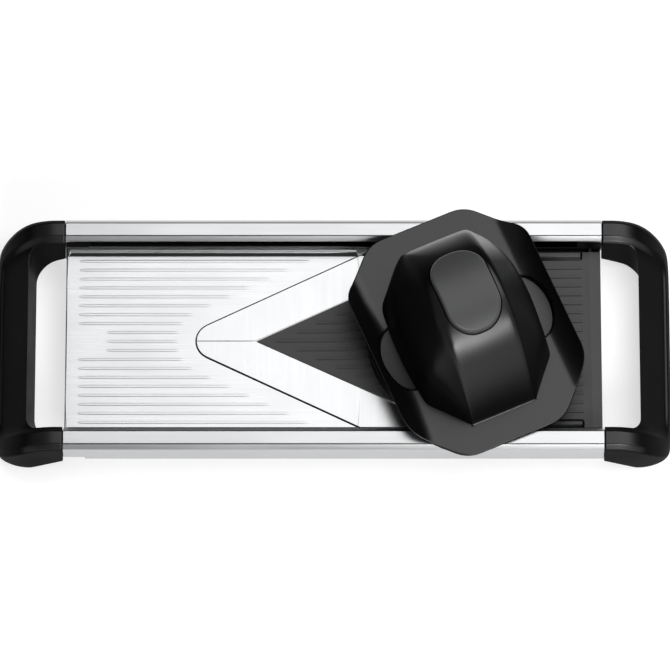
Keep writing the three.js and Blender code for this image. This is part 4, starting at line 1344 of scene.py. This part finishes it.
def model_flange():
    flange = flange_slab("guard_flange_piece", 0.0, FLANGE_THICKNESS)
    for side in SIDES:
        combine(flange, dish_bowl(side), "UNION")
        combine(flange, dish_form(side, 0.0), "DIFFERENCE")
    soften_edges(flange, FLANGE_EDGE * MM, steps=4, angle=40.0)
    collar = guard_collar()
    smooth_shading(collar, angle=40)
    attach(flange, collar)
    complete_guard(flange)


# Camera, light and floor

def add_camera():
    aim = Vector((0, -math.cos(CAMERA_ELEVATION), math.sin(CAMERA_ELEVATION)))
    bpy.ops.object.camera_add(location=VIEW_CENTRE + CAMERA_DISTANCE * aim)
    camera = bpy.context.object
    camera.rotation_euler = (math.pi / 2 - CAMERA_ELEVATION, 0, 0)
    camera.data.sensor_width = SENSOR_WIDTH
    camera.data.lens = SENSOR_WIDTH * CAMERA_DISTANCE / VIEW_WIDTH
    camera.data.clip_end = VIEW_LIMIT
    bpy.context.scene.camera = camera


def add_lamp(name, place, aim_at, size, power):
    bpy.ops.object.light_add(type="AREA", location=place)
    lamp = bpy.context.object
    lamp.name = name
    lamp.data.shape = "RECTANGLE"
    lamp.data.size, lamp.data.size_y = size
    lamp.data.energy = power
    lamp.rotation_euler = (Vector(place) - Vector(aim_at)).to_track_quat("Z", "Y").to_euler()


def add_world():
    world = bpy.data.worlds.new("studio")
    bpy.context.scene.world = world
    world.use_nodes = True
    sky = world.node_tree.nodes["Background"]
    sky.inputs["Color"].default_value = (1, 1, 1, 1)
    sky.inputs["Strength"].default_value = SURROUND_LEVEL


def add_floor():
    """A pale floor. What looks at it, straight or in a reflection, also sees its own white."""
    bpy.ops.mesh.primitive_plane_add(size=FLOOR_SIZE, location=(0, 0, -FLOOR_DROP))
    floor = bpy.context.object
    floor.name = "floor"
    pale = bpy.data.materials.new("floor_pale")
    pale.use_nodes = True
    tree = pale.node_tree
    paper = tree.nodes["Principled BSDF"]
    paper.inputs["Base Color"].default_value = (FLOOR_GREY, FLOOR_GREY, FLOOR_GREY, 1)
    paper.inputs["Roughness"].default_value = FLOOR_ROUGHNESS
    paper.inputs["Specular IOR Level"].default_value = FLOOR_SHINE
    paper.inputs["Emission Color"].default_value = (1, 1, 1, 1)
    ray = tree.nodes.new("ShaderNodeLightPath")
    seen = ray.outputs["Is Camera Ray"]
    for kind in ("Is Glossy Ray", "Is Transmission Ray"):
        seen = combined(tree, "MAXIMUM", seen, ray.outputs[kind])
    tree.links.new(times_number(tree, seen, FLOOR_WHITE), paper.inputs["Emission Strength"])
    paint(floor, pale)


def add_light_and_floor():
    for lamp in LAMPS:
        add_lamp(*lamp)
    add_world()
    add_floor()
    bpy.context.scene.view_settings.view_transform = "Standard"


finishes = make_finishes()
add_camera()
add_light_and_floor()
for side in SIDES:
    model_handle(side)
    model_groove_shade(side)
    model_dark_strips(side)
    model_bar_shade_foot(side)
    model_pivot_sleeve(side)
    for end in SIDES:
        model_groove_end(side, end)
model_landing_plate()
model_dome()
model_spring()
model_flange()
model_runway()
dress_cad_shapes()
finish_plain_nodes()
